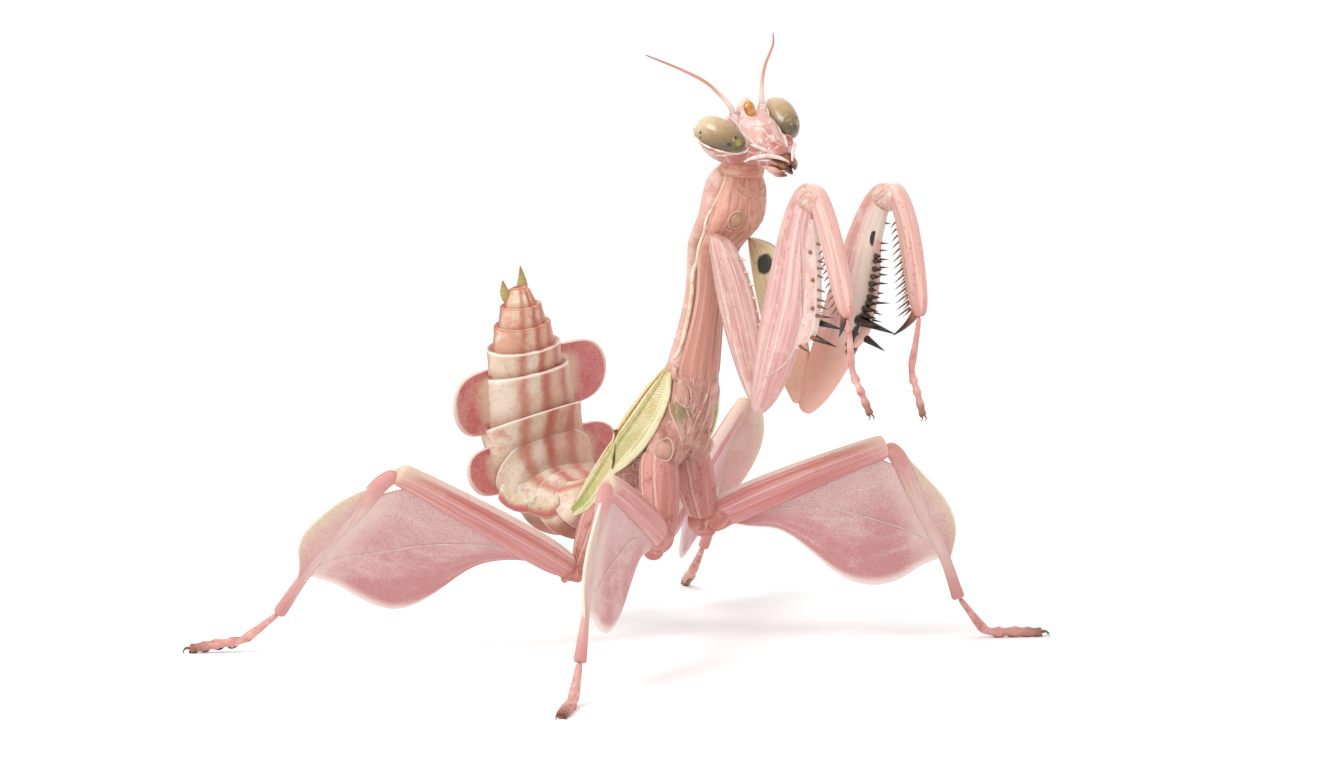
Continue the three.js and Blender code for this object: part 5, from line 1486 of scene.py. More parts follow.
UP_THE_FACE = HEAD_AXES @ Vector((0, 0, 1))
eye_height = UP_THE_FACE.dot(Vector(exported(on_head(2.4, -0.28, -0.02)))) / MM
LOWER_RIM = HEAD_AXES @ Vector((0, 0.68, -0.73))
eye_low = LOWER_RIM.dot(Vector(exported(on_head(2.4, -0.28, -0.02)))) / MM
HEAD_PINK = finish("head_pink", "edb9ae", [
    ("clouds", "d0857a", 0.85, {"size": 1.1, "Low": 0.48, "High": 0.62}),
    ("clouds", "fbe6dd", 0.95, {"size": 0.6, "Low": 0.5, "High": 0.62}),
    # Darker rose under and behind each eye: partly the cheeks' own rosier colour, partly painted shade under the eye.
    *[head_spot("b3685d", 0.85, (1.5 * side, -0.2, -1.9), 0.4, 1.0) for side in SIDES],
    *[head_spot("bf7468", 0.85, (2.3 * side, 0.5, -1.5), 0.6, 1.1) for side in SIDES],
    *[head_spot("b96a4e", 0.9, (1.5 * side, -0.5, -1.75), 0.22, 0.3) for side in SIDES],
    *[head_spot("b56350", 0.9, (1.12 * side, -0.7, -2.1), 0.2, 0.3) for side in SIDES],
    head_spot("b96a5a", 0.85, (0, -0.9, -2.35), 0.25, 0.6),
    head_spot("7f4331", 0.9, (0, -0.5, -3.3), 0.3, 0.7),
    ("network", "fdf0ea", 0.3, {"size": 1.15, "Width": 0.1}),
    ("clouds", "fdeee6", 0.6, {"size": 0.35, "Low": 0.56, "High": 0.66}),
    head_spot("f7e6d6", 0.85, (0, -1.3, 1.5), 0.35, 0.45),
    *[head_spot("cf9384", 0.7, (0.85 * side, -0.7, 0.9), 0.1, 0.5) for side in SIDES],
    head_spot("c9742c", 0.8, (-0.1, -1.1, 0.25), 0.15, 0.25),
], rough=0.4, relief=0.3, lift=0.04)
RIDGE_WHITE = finish("ridge_white", "f9e6df", [("clouds", "eab9ae", 0.8, {"size": 0.4, "Low": 0.45, "High": 0.62})], rough=0.4, lift=0.01)
RIM_PINK = finish("rim_pink", "f8e2d8", [("clouds", "dd9f92", 0.8, {"size": 0.6, "Low": 0.45, "High": 0.62})], rough=0.4, lift=0.01)
RIDGE_PINK = finish("ridge_pink", "ecc9bf", [("clouds", "d9a297", 0.8, {"size": 0.5, "Low": 0.45, "High": 0.6})], rough=0.45, lift=0.01)
EYE_DOTS = [((3.59, -0.36, 0.71), 0.07), ((3.62, -0.12, 0.53), 0.06), ((2.43, -1.23, -0.91), 0.08), ((2.88, -0.87, -0.99), 0.1), ((2.78, -0.9, -1.02), 0.06), ((2.1, -1.1, -1.35), 0.05)]
EYE_BEIGE = finish("eye_beige", "bf9f78", [
    ("clouds", "d6b68e", 0.5, {"size": 1.6, "Low": 0.4, "High": 0.65}),
    # Painted highlight: the upper part of each eye is painted lighter.
    ("fade", "ecd3ae", 0.85, {"size": 1, "along": tuple(UP_THE_FACE), "Start": eye_height - 0.1, "End": eye_height + 1.5, "Wobble": 0.5}),
    ("fade", "917246", 0.9, {"size": 1, "along": tuple(LOWER_RIM), "Start": eye_low - 1.1, "End": eye_low - 0.1, "Wobble": 0.6}),
    ("fade", "54472e", 0.9, {"size": 1, "along": tuple(LOWER_RIM), "Start": eye_low - 0.45, "End": eye_low + 0.55, "Wobble": 0.3}),
    ("fade", "8d8a6c", 0.7, {"size": 1, "along": tuple(LOWER_RIM), "Start": eye_low + 0.6, "End": eye_low + 1.0, "Wobble": 0.1}),
    ("dots", "a98759", 0.3, {"size": 0.11, "Radius": 0.45}),
    ("clouds", "d3c191", 0.5, {"size": 0.5, "Low": 0.56, "High": 0.7}),
    *[head_spot("b3ac40", 0.65, (2.36 * side, -1.08, -1.22), 0.07, 0.27, 0) for side in SIDES],
    *[head_spot("2a2118", 0.95, (x * side, y, z), radius, 0.05, 0) for (x, y, z), radius in EYE_DOTS for side in SIDES],
], rough=0.24, relief=0.12, lift=0.006, glow=0.1, coat=0.35)
# The ocellus is amber, and the lighter yellow fade on one side of it is a painted highlight.
AMBER = finish("amber", "dc7c08", [("clouds", "8f3f08", 0.9, {"size": 0.3, "Low": 0.46, "High": 0.6}), ("fade", "ffc040", 0.3, {"along": DEEP, "Start": 0.0, "End": -0.9})], rough=0.12, relief=0.2, lift=0.01, coat=1.0)
MOUTH_GOLD = finish("mouth_gold", "94551f", [("clouds", "4f2a1a", 0.9, {"size": 0.35, "Low": 0.45, "High": 0.58}), ("clouds", "efcf9a", 0.6, {"size": 0.2, "Low": 0.6, "High": 0.7})], rough=0.3)
MOUTH_BROWN = finish("mouth_brown", "743c28", [("clouds", "c98a4a", 0.8, {"size": 0.35, "Low": 0.5, "High": 0.64}), ("fade", "2a1511", 0.9, {"along": ALONG, "Start": 0.55, "End": 0.95})], rough=0.3)
PALP = finish("palp", "e3b0a3", [("clouds", "a9604f", 0.7, {"size": 0.5, "Low": 0.5, "High": 0.62}), ("fade", "8a4c38", 0.8, {"along": ALONG, "Start": 0.6, "End": 1.0})], rough=0.4)
FEELER = finish("feeler", "efdbd1", [
    ("fade", "d8977f", 1.0, {"along": ALONG, "Start": 0.1, "End": 0.4}),
    ("fade", "96503f", 1.0, {"along": ALONG, "Start": 0.55, "End": 1.0}),
    ("bands", "b76b57", 0.45, {"along": (60, 0, 0), "Low": 0.2, "High": 0.9}),
], rough=0.45, relief=0.2, lift=0.01)

# %% [markdown]
# The neck and the front of the prothorax are a soft salmon with fine folds. The pronotum is paler, with a cream
# margin. The sides of the rear thorax are dusky rose, like the coxae below them.

# %% Finishes of the thorax
def salmon_layers():
    return [
        ("clouds", "efc0aa", 0.85, {"size": 0.9, "Low": 0.44, "High": 0.64}),
        ("clouds", "c55f48", 0.7, {"size": 0.8, "Low": 0.5, "High": 0.68}),
        ("network", "f6d6c4", 0.25, {"size": 0.7, "Width": 0.05}),
    ]


NECK_SALMON = finish("neck_salmon", "dc957f", salmon_layers() + [("bands", "b9604c", 0.35, {"along": (9, 0.6, 0), "Low": 0.3, "High": 0.95, "Wobble": 1.6})], rough=0.5, relief=0.4, lift=0.06)
SALMON = finish("salmon", "dc957f", [
    *salmon_layers(),
    ("fade", "e39f86", 0.55, {"along": ALONG, "Start": 0.66, "End": 0.78, "Wobble": 0.3}),
    ("fade", "c98c7e", 0.95, {"along": ALONG, "Start": 0.6, "End": 0.4, "Wobble": 0.25}),
    ("clouds", "a3625c", 0.75, {"along": (2.2, 5, 5), "Low": 0.5, "High": 0.62}),
    ("clouds", "dc9a80", 0.7, {"along": (2.6, 6, 6), "Low": 0.5, "High": 0.62}),
    ("clouds", "e9c0b0", 0.55, {"along": (1.4, 4, 4), "Low": 0.5, "High": 0.64}),
    *[("spot", "9a8d58", 0.6, {"size": 1, "Centre": exported(Vector((1.15 * side, -6.8, 26.75))), "Radius": 0.3, "Soft": 0.5, "Wobble": 0.4}) for side in SIDES],
    ("spot", "b8473e", 0.8, {"size": 1, "Centre": exported(Vector((0.5, -7.2, 27.5))), "Radius": 0.12, "Soft": 0.2}),
], rough=0.5, relief=0.4, lift=0.06)
SOCKET_SKIN = finish("socket_skin", "c99a7c", [
    ("clouds", "9c8c5c", 0.6, {"size": 0.5, "Low": 0.48, "High": 0.62}),
    ("clouds", "e6bfa6", 0.7, {"size": 0.4, "Low": 0.5, "High": 0.62}),
], rough=0.45, relief=0.3, lift=0.03)
FOLD_SALMON = finish("fold_salmon", "e3ad97", [
    ("clouds", "c97a62", 0.8, {"size": 0.6, "Low": 0.46, "High": 0.6}),
    ("clouds", "f0cdb9", 0.6, {"size": 0.5, "Low": 0.52, "High": 0.64}),
], rough=0.45, lift=0.02)
PRONOTUM_PINK = finish("pronotum_pink", "dfae9f", [
    ("clouds", "efcdbf", 0.8, {"size": 0.9, "Low": 0.46, "High": 0.62}),
    ("clouds", "c98b7c", 0.5, {"size": 0.6, "Low": 0.54, "High": 0.68}),
    ("dots", "c07f72", 0.4, {"size": 0.3, "Radius": 0.3, "Share": 0.5}),
], rough=0.5, relief=0.35, lift=0.03)
MARGIN_CREAM = finish("margin_cream", "f0dcc2", [("clouds", "e0b49a", 0.8, {"size": 0.8, "Low": 0.45, "High": 0.62}), ("clouds", "faf0dd", 0.8, {"size": 0.5, "Low": 0.5, "High": 0.62})], rough=0.45, lift=0.015)
THORAX_ROSE = finish("thorax_rose", "c4887b", [
    ("clouds", "e0b2a2", 0.9, {"along": (1.6, 0.7, 0.5), "size": 1.0, "Low": 0.46, "High": 0.6}),
    ("clouds", "9a5650", 0.75, {"along": (1.8, 0.7, 0.5), "size": 0.8, "Low": 0.52, "High": 0.64}),
    ("clouds", "b07a62", 0.5, {"size": 1.9, "Low": 0.5, "High": 0.62}),
    *[("spot", "8a8450", 0.8, {"size": 1, "Centre": exported(Vector((1.79 * side, -2.5, 15.07))), "Radius": 0.3, "Soft": 0.7, "Wobble": 0.5}) for side in SIDES],
    ("network", "e8c4b2", 0.3, {"size": 0.8, "Width": 0.05}),
    ("dots", "8e5348", 0.35, {"size": 0.22, "Radius": 0.35, "Share": 0.5}),
], rough=0.48, relief=0.4, lift=0.08)
PLATE_ROSE = finish("plate_rose", "cf9a8a", [
    ("clouds", "e8c6b4", 0.8, {"along": (1.6, 0.7, 0.5), "size": 0.7, "Low": 0.48, "High": 0.62}),
    ("clouds", "a8675a", 0.7, {"size": 0.6, "Low": 0.52, "High": 0.64}),
    ("clouds", "a39a68", 0.4, {"size": 0.9, "Low": 0.54, "High": 0.66}),
], rough=0.45, relief=0.35, lift=0.05)
SEAM_PEACH = finish("seam_peach", "e2b9a2", [("clouds", "c98570", 0.8, {"size": 0.7, "Low": 0.45, "High": 0.62}), ("clouds", "f3dcc8", 0.7, {"size": 0.5, "Low": 0.52, "High": 0.64})], rough=0.45, lift=0.01)
SEAM_DARK = finish("seam_dark", "7a4a22", [("clouds", "3f2412", 0.8, {"size": 0.5, "Low": 0.45, "High": 0.6})], rough=0.4, lift=0.01)
KNOB_PINK = finish("knob_pink", "dba795", [("clouds", "efd2c0", 0.8, {"size": 0.5, "Low": 0.46, "High": 0.62}), ("clouds", "b87466", 0.6, {"size": 0.4, "Low": 0.54, "High": 0.66})], rough=0.45, lift=0.02)
COXA_ROSE = finish("coxa_rose", "c47d72", [
    ("clouds", "dca496", 0.7, {"along": (1.5, 4, 4), "Low": 0.45, "High": 0.6}),
    ("clouds", "a45d52", 0.6, {"size": 0.8, "Low": 0.54, "High": 0.68}),
    ("stripe", "efd0c0", 0.8, {"along": DEEP, "At": -0.25, "Half": 0.03, "Soft": 0.06, "Wobble": 0.12}),
    ("stripe", "efd0c0", 0.6, {"along": DEEP, "At": 0.5, "Half": 0.02, "Soft": 0.06, "Wobble": 0.12}),
    ("dots", "9b5046", 0.3, {"size": 0.25, "Radius": 0.35, "Share": 0.5}),
], rough=0.5, relief=0.35, lift=0.04)
TROCHANTER = finish("trochanter", "ca7b70", [
    ("clouds", "dda093", 0.7, {"size": 0.7, "Low": 0.46, "High": 0.62}),
    ("clouds", "a05248", 0.6, {"size": 0.6, "Low": 0.54, "High": 0.66}),
], rough=0.45, relief=0.3, lift=0.04)
PAD_GREEN = finish("pad_green", "d6c98d", [
    ("clouds", "e8dfb2", 0.8, {"size": 1.2, "Low": 0.45, "High": 0.6}),
    ("fade", "a9b85a", 0.55, {"along": ALONG, "Start": 0.3, "End": 0.9, "Wobble": 0.2}),
    ("bands", "c28a70", 0.6, {"along": (46, 9, 0), "Low": 0.0, "High": 0.9, "Wobble": 2.4}),
    ("fade", "ece2b6", 0.95, {"along": ACROSS, "Start": 0.7, "End": 0.8}),
    ("fade", "cfbc74", 0.95, {"along": ACROSS, "Start": 0.36, "End": 0.27}),
    ("stripe", "8f8f42", 0.7, {"along": ACROSS, "At": 0.36, "Half": 0.015, "Soft": 0.04, "Wobble": 0.04}),
    ("stripe", "a96f24", 0.9, {"along": ACROSS, "At": 0.15, "Half": 0.035, "Soft": 0.05, "Wobble": 0.05}),
    ("fade", "efe4bd", 0.9, {"along": ACROSS, "Start": 0.1, "End": 0.04}),
    ("network", "efe9c8", 0.35, {"size": 0.6, "Width": 0.05}),
], rough=0.48, relief=0.3, lift=0.04)
HIND_PAD_GREEN = finish("hind_pad_green", "d6c98d", [
    ("clouds", "e8dfb2", 0.8, {"size": 1.2, "Low": 0.45, "High": 0.6}),
    ("fade", "a9b85a", 0.95, {"along": ALONG, "Start": 0.3, "End": 0.9, "Wobble": 0.2}),
    ("bands", "c28a70", 0.25, {"along": (46, 9, 0), "Low": 0.0, "High": 0.9, "Wobble": 2.4}),
    ("fade", "ece2b6", 0.95, {"along": ACROSS, "Start": 0.7, "End": 0.8}),
    ("fade", "cfbc74", 0.95, {"along": ACROSS, "Start": 0.36, "End": 0.27}),
    ("stripe", "8f8f42", 0.7, {"along": ACROSS, "At": 0.36, "Half": 0.015, "Soft": 0.04, "Wobble": 0.04}),
    ("stripe", "a96f24", 0.9, {"along": ACROSS, "At": 0.15, "Half": 0.035, "Soft": 0.05, "Wobble": 0.05}),
    ("fade", "efe4bd", 0.9, {"along": ACROSS, "Start": 0.1, "End": 0.04}),
    ("network", "efe9c8", 0.35, {"size": 0.6, "Width": 0.05}),
], rough=0.48, relief=0.3, lift=0.04)
PAD_MARGIN = finish("pad_margin", "ebe3bb", [("clouds", "d3cb8c", 0.8, {"size": 0.9, "Low": 0.45, "High": 0.62}), ("clouds", "e3b79c", 0.4, {"size": 1.4, "Low": 0.52, "High": 0.66})], rough=0.45, lift=0.01)

# %% [markdown]
# The rings of the abdomen are cream and greenish beige, with a dark pink stripe down the middle, a broken one
# on each side, and a crisp cream edge. Painted shade darkens their undersides and the start of each ring, under
# the edge of the one before. The lobes are rose, stippled, with pale rims.

# %% Finishes of the abdomen
def ring_layers(clouds, shaded_underside, edge):
    return [
        ("clouds", clouds, 0.85, {"size": 1.7, "Low": 0.46, "High": 0.6}),
        ("clouds", "d3cc9c", 0.45, {"size": 2.6, "Low": 0.54, "High": 0.68}),
        ("clouds", "e0907c", 0.6, {"size": 1.9, "Low": 0.54, "High": 0.7}),
        ("clouds", "fbf1de", 0.6, {"size": 0.8, "Low": 0.52, "High": 0.66}),
        ("clouds", "e3a091", 0.6, {"size": 0.9, "Low": 0.53, "High": 0.68}),
        ("fade", "dd9a84", 0.5, {"along": ACROSS, "Start": -0.15, "End": 0.15, "Wobble": 0.3}),
        ("stripe", "c5533f", 0.8, {"along": ACROSS, "At": 0.0, "Half": 0.01, "Soft": 0.19, "Wobble": 0.14}),
        *[("stripe", "cb6450", 0.7, {"along": ACROSS, "At": 0.5 * side, "Half": 0.005, "Soft": 0.2, "Wobble": 0.16}) for side in SIDES],
        ("dots", "b96a58", 0.3, {"size": 0.3, "Radius": 0.32, "Share": 0.35}),
        # The underside of each ring is painted a darker rose: painted shade.
        ("fade", shaded_underside, 0.85, {"along": DEEP, "Start": -0.05, "End": 0.35, "Wobble": 0.2}),
        # Painted shade: each ring is painted darker where it comes out from under the flared edge of the ring before.
        ("fade", "b98068", 0.5, {"along": ALONG, "Start": 0.3, "End": 0.15}),
        ("stripe", edge, 0.8, {"along": ALONG, "At": 0.64, "Half": 0.04, "Soft": 0.04, "Wobble": 0.02}),
    ]


RING_CREAM = finish("ring_cream", "f6e6d2", ring_layers("ead3b8", "b8705f", "fcf3e8"), rough=0.5, relief=0.5, lift=0.05)
TIP_ORANGE = finish("tip_orange", "e8cdb0", ring_layers("dba084", "b0594a", "cc6c4c"), rough=0.5, relief=0.5, lift=0.05)
LOBE_ROSE = finish("lobe_rose", "d98380", [
    ("clouds", "dd9d8f", 0.7, {"size": 1.0, "Low": 0.46, "High": 0.6}),
    ("clouds", "cf6a6a", 0.7, {"size": 0.7, "Low": 0.5, "High": 0.62}),
    ("dots", "bf5658", 0.4, {"size": 0.2, "Radius": 0.42, "Share": 0.7}),
    ("dots", "eebcae", 0.4, {"size": 0.24, "Radius": 0.3, "Share": 0.5}),
    ("fade", "e8d0b2", 0.9, {"along": ACROSS, "Start": 0.55, "End": 0.15, "Wobble": 0.2}),
    ("stripe", "f6e3d6", 0.9, {"along": ACROSS, "At": 1.0, "Half": 0.025, "Soft": 0.08, "Wobble": 0.06}),
], rough=0.5, relief=0.4, lift=0.05)
FLAP_CREAM = finish("flap_cream", "e6d3b4", [
    ("clouds", "f3e8d0", 0.8, {"size": 0.9, "Low": 0.46, "High": 0.62}),
    ("fade", "d9776f", 0.9, {"along": ACROSS, "Start": 0.4, "End": 0.8, "Wobble": 0.4}),
    ("dots", "c9605e", 0.4, {"size": 0.25, "Radius": 0.35, "Share": 0.5}),
    ("stripe", "f6e3d0", 0.9, {"along": ACROSS, "At": 1.0, "Half": 0.04, "Soft": 0.08, "Wobble": 0.06}),
], rough=0.5, relief=0.4, lift=0.05)
STRAW = finish("straw", "b9a35e", [("bands", "9c8442", 0.5, {"along": (7, 0, 0), "Low": 0.3, "High": 0.9}), ("fade", "7d6a35", 0.7, {"along": ALONG, "Start": 0.6, "End": 1.0}), ("fade", "d9b98a", 0.7, {"along": ALONG, "Start": 0.3, "End": 0.0})], rough=0.45, relief=0.25, lift=0.03)

# %% [markdown]
# The petals of the walking legs are a greyish pink that turns rosier in the middle, finely stippled, with a
# pale rim. The legs that carry them are striped lengthwise in rose and coral, and cream at the knee.

# %% Finishes of the walking legs
PETAL_PINK = finish("petal_pink", "dfbdb8", [
    ("fade", "d08f8f", 0.9, {"along": ACROSS, "Start": 0.1, "End": 0.72, "Wobble": 0.25}),
    ("clouds", "e6c4be", 0.6, {"size": 3.0, "Low": 0.48, "High": 0.64}),
    ("clouds", "e9cfc8", 0.5, {"along": (2.5, 7, 0), "Low": 0.5, "High": 0.66}),
    ("dots", "b96c6c", 0.45, {"size": 0.13, "Radius": 0.45, "Share": 0.75}),
    ("dots", "f0dad5", 0.2, {"size": 0.15, "Radius": 0.35, "Share": 0.4}),
    ("fade", "ecd8cc", 0.75, {"along": ALONG, "Start": 0.82, "End": 1.0, "Wobble": 0.12}),
    ("stripe", "f7ebe5", 0.85, {"along": ACROSS, "At": 1.0, "Half": 0.01, "Soft": 0.08}),
], rough=0.55, relief=0.3, lift=0.03, glow=0.45)
LOBE_CREAM = finish("outer_petal_cream", "e0b9b1", [
    ("clouds", "e9cfc4", 0.7, {"size": 1.4, "Low": 0.46, "High": 0.62}),
    ("fade", "e3d8b8", 0.7, {"along": (-0.3, 1, 0), "Start": 0.25, "End": 0.75, "Wobble": 0.3}),
    ("fade", "d69b98", 0.85, {"along": ALONG, "Start": 0.55, "End": 1.0, "Wobble": 0.2}),
    ("dots", "c08383", 0.4, {"size": 0.16, "Radius": 0.42, "Share": 0.6}),
    ("dots", "94643f", 0.7, {"size": 1.3, "Radius": 0.1, "Share": 0.2}),
    ("stripe", "f6e9dc", 0.85, {"along": ACROSS, "At": 1.0, "Half": 0.02, "Soft": 0.1}),
], rough=0.55, relief=0.3, lift=0.03, glow=0.4)
TURNED_PEACH = finish("turned_petal", "f0c8c0", [
    ("clouds", "f6ddd5", 0.8, {"along": (3, 1.5, 1), "Low": 0.46, "High": 0.62}),
    ("fade", "efc594", 0.85, {"along": (1, 0.15, 0), "Start": 0.3, "End": 0.0, "Wobble": 0.2}),
    ("fade", "f1ead0", 0.85, {"along": (-0.5, 1, 0), "Start": 0.4, "End": 0.9, "Wobble": 0.2}),
    ("fade", "e4a8a3", 0.8, {"along": ALONG, "Start": 0.55, "End": 1.0, "Wobble": 0.2}),
    ("dots", "cf908d", 0.35, {"size": 0.16, "Radius": 0.42, "Share": 0.6}),
], rough=0.55, relief=0.3, lift=0.03, glow=0.4)
VEIN_PALE = finish("vein_pale", "e9cbc5", [("clouds", "dba9a4", 0.8, {"size": 0.9, "Low": 0.45, "High": 0.62})], rough=0.5, lift=0.01, glow=0.4)
SHANK_ROSE = finish("shank_rose", "dd9a98", [
    ("clouds", "c97674", 0.6, {"along": (2.5, 3, 3), "Low": 0.45, "High": 0.62}),
    ("clouds", "edc6bc", 0.6, {"along": (3, 5, 5), "Low": 0.52, "High": 0.66}),
    ("stripe", "c96a56", 0.55, {"along": ACROSS, "At": -0.55, "Half": 0.05, "Soft": 0.09, "Wobble": 0.15}),
    ("stripe", "cf7460", 0.5, {"along": ACROSS, "At": 0.35, "Half": 0.05, "Soft": 0.09, "Wobble": 0.15}),
    ("stripe", "f5dfd2", 0.8, {"along": ACROSS, "At": -0.92, "Half": 0.06, "Soft": 0.08, "Wobble": 0.05}),
    ("stripe", "f1d3c8", 0.6, {"along": ACROSS, "At": -0.2, "Half": 0.012, "Soft": 0.04, "Wobble": 0.05}),
    ("fade", "ebceb6", 0.85, {"along": (1, -0.14, 0), "Start": 0.62, "End": 0.95, "Wobble": 0.15}),
    ("clouds", "d98a5f", 0.35, {"size": 1.0, "Low": 0.56, "High": 0.68}),
    ("fade", "b5605a", 0.6, {"along": ALONG, "Start": 0.25, "End": 0.05, "Wobble": 0.1}),
], rough=0.45, relief=0.35, lift=0.03)
ROD_ROSE = finish("rod_rose", "e3bdb4", [
    ("clouds", "edd2c8", 0.7, {"along": (6, 3, 3), "Low": 0.45, "High": 0.62}),
    ("clouds", "cf8f8a", 0.5, {"along": (5, 4, 4), "Low": 0.54, "High": 0.66}),
    ("fade", "d9938e", 0.85, {"along": ALONG, "Start": 0.3, "End": 0.08, "Wobble": 0.15}),
    ("clouds", "eebf9c", 0.4, {"size": 0.8, "Low": 0.56, "High": 0.66}),
    ("fade", "d38d88", 0.9, {"along": ALONG, "Start": 0.62, "End": 0.85, "Wobble": 0.1}),
    ("stripe", "c97a66", 0.3, {"along": ACROSS, "At": 0.0, "Half": 0.08, "Soft": 0.15, "Wobble": 0.2}),
], rough=0.45, relief=0.3, lift=0.03)
FOOT_CORAL = finish("foot_coral", "dc9c92", [
    ("clouds", "ecc3b6", 0.7, {"size": 0.8, "Low": 0.46, "High": 0.62}),
    ("clouds", "b5594e", 0.6, {"size": 0.6, "Low": 0.54, "High": 0.66}),
    ("fade", "8a5238", 0.8, {"along": ALONG, "Start": 0.6, "End": 1.0, "Wobble": 0.2}),
], rough=0.45, relief=0.25, lift=0.03)
BLACK_HORN = finish("black_horn", "1f1512", [
    ("clouds", "5a3524", 0.6, {"size": 0.3, "Low": 0.52, "High": 0.66}),
    ("fade", "0d0807", 0.9, {"along": ALONG, "Start": 0.3, "End": 0.8}),
], rough=0.25, relief=0.2, lift=0.01, glow=0.0, coat=0.3)
HORN = finish("horn", "a8623a", [
    ("clouds", "7a3b22", 0.8, {"size": 0.35, "Low": 0.45, "High": 0.6}),
    ("fade", "24110d", 0.95, {"along": ALONG, "Start": 0.1, "End": 0.65}),
], rough=0.25, relief=0.2, lift=0.01, glow=0.05, coat=0.3)

# %% [markdown]
# The grasping legs are pink with faint long stripes and small darker spots. The knees are cream. The inside
# of the left femur, which faces the right front, is pale with black blotches.

# %% Finishes of the grasping legs
def arm_layers(pale, dark):
    return [
        ("clouds", pale, 0.8, {"along": (1.6, 3.5, 3.5), "Low": 0.44, "High": 0.6}),
        ("clouds", dark, 0.55, {"along": (2.2, 6, 6), "Low": 0.52, "High": 0.66}),
        ("clouds", pale, 0.6, {"size": 1.0, "Low": 0.5, "High": 0.64}),
        ("dots", dark, 0.55, {"size": 0.4, "Radius": 0.22, "Share": 0.35}),
        ("stripe", "f7e2d8", 0.6, {"along": DEEP, "At": -0.3, "Half": 0.012, "Soft": 0.04, "Wobble": 0.05}),
        ("stripe", "c9827c", 0.35, {"along": DEEP, "At": 0.15, "Half": 0.03, "Soft": 0.08, "Wobble": 0.08}),
    ]


ARM_PINK = finish("arm_pink", "dda6a0", arm_layers("ecc9c0", "c4807c"), rough=0.45, relief=0.35, lift=0.03)
ARM_COXA = finish("arm_coxa", "cf9a8f", arm_layers("e5c2b5", "b5756a"), rough=0.45, relief=0.35, lift=0.03)
INNER_PALE = finish("inner_pale", "dfaca4", [
    *arm_layers("f0d5c8", "cf8b7a"),
    ("fade", "f0e0d0", 0.85, {"along": DEEP, "Start": -0.15, "End": -0.6, "Wobble": 0.2}),
    ("fade", "eab3a0", 0.95, {"along": ALONG, "Start": 0.4, "End": 0.26, "Wobble": 0.15}),
    *[
        ("spot", "140f0c", 0.97, {"along": (13, 0, 2.4), "Centre": (share, 0, deep), "Radius": 0.24, "Soft": 0.12, "Wobble": 0.5})
        for share, deep in ((0.643, -0.82), (0.37, -0.9), (0.345, -0.8), (0.33, -0.9))
    ],
], rough=0.45, relief=0.35, lift=0.03)
LEFT_COXA = finish("left_coxa_yellow", "e6d3a0", [
    ("clouds", "f2e6c2", 0.8, {"along": (1.6, 3.5, 3.5), "Low": 0.44, "High": 0.6}),
    ("clouds", "cdb26f", 0.6, {"along": (2.2, 6, 6), "Low": 0.5, "High": 0.64}),
    ("fade", "cf9a8f", 0.95, {"along": ACROSS, "Start": -0.2, "End": 0.35, "Wobble": 0.3}),
    ("fade", "ecb9a2", 0.97, {"along": ALONG, "Start": 0.5, "End": 0.62, "Wobble": 0.15}),
    ("dots", "b5756a", 0.4, {"size": 0.4, "Radius": 0.22, "Share": 0.35}),
    ("spot", "16291f", 0.97, {"size": 1, "Centre": exported(Vector((1.2, -6.75, 24.15))), "Radius": 0.5, "Soft": 0.25, "Wobble": 0.5}),
], rough=0.45, relief=0.35, lift=0.03)
FLANGE_PINK = finish("flange_pink", "e4b9af", [
    ("clouds", "f1d6cc", 0.8, {"size": 0.8, "Low": 0.46, "High": 0.62}),
    ("dots", "c0746c", 0.6, {"size": 0.45, "Radius": 0.2, "Share": 0.4}),
    ("stripe", "f7e6dd", 0.8, {"along": ACROSS, "At": 1.0, "Half": 0.04, "Soft": 0.1}),
], rough=0.45, relief=0.3, lift=0.03)
INNER_FLANGE = finish("inner_flange", "f0ddcf", [
    ("clouds", "e3b5a8", 0.6, {"size": 0.8, "Low": 0.48, "High": 0.62}),
    ("bands", "241a15", 0.9, {"along": (12, 0.5, 0), "Low": 0.2, "High": 0.5, "Wobble": 0.8}),
    ("fade", "e5b6a9", 0.95, {"along": ACROSS, "Start": 0.62, "End": 0.75, "Wobble": 0.2}),
    ("fade", "f0dfd0", 0.95, {"along": ACROSS, "Start": 0.3, "End": 0.2, "Wobble": 0.2}),
    ("fade", "f0dfd0", 0.95, {"along": ALONG, "Start": 0.8, "End": 0.86}),
], rough=0.45, relief=0.3, lift=0.03)
SHIN_PINK = finish("shin_pink", "dfaa9f", [
    ("clouds", "efcdc0", 0.8, {"along": (2.0, 3, 3), "Low": 0.44, "High": 0.6}),
    ("clouds", "c77c6e", 0.5, {"along": (2.5, 5, 5), "Low": 0.52, "High": 0.66}),
    ("dots", "c0776a", 0.5, {"size": 0.4, "Radius": 0.25, "Share": 0.4}),
    ("fade", "c97766", 0.6, {"along": ALONG, "Start": 0.7, "End": 1.0, "Wobble": 0.15}),
    ("fade", "f0dccd", 0.8, {"along": ALONG, "Start": 0.25, "End": 0.08, "Wobble": 0.1}),
], rough=0.45, relief=0.3, lift=0.03)
KNEE_CREAM = finish("knee_cream", "e9bcae", [
    ("clouds", "e0a489", 0.8, {"size": 0.7, "Low": 0.48, "High": 0.62}),
    ("clouds", "f8e3d3", 0.8, {"size": 0.5, "Low": 0.52, "High": 0.64}),
    ("clouds", "b9694a", 0.5, {"size": 0.6, "Low": 0.58, "High": 0.68}),
], rough=0.4, relief=0.3, lift=0.05)

# %% [markdown]
# ## Dressing the pieces
# Each piece now gets its finish, rides on the one body, and stands for the solids it covers.

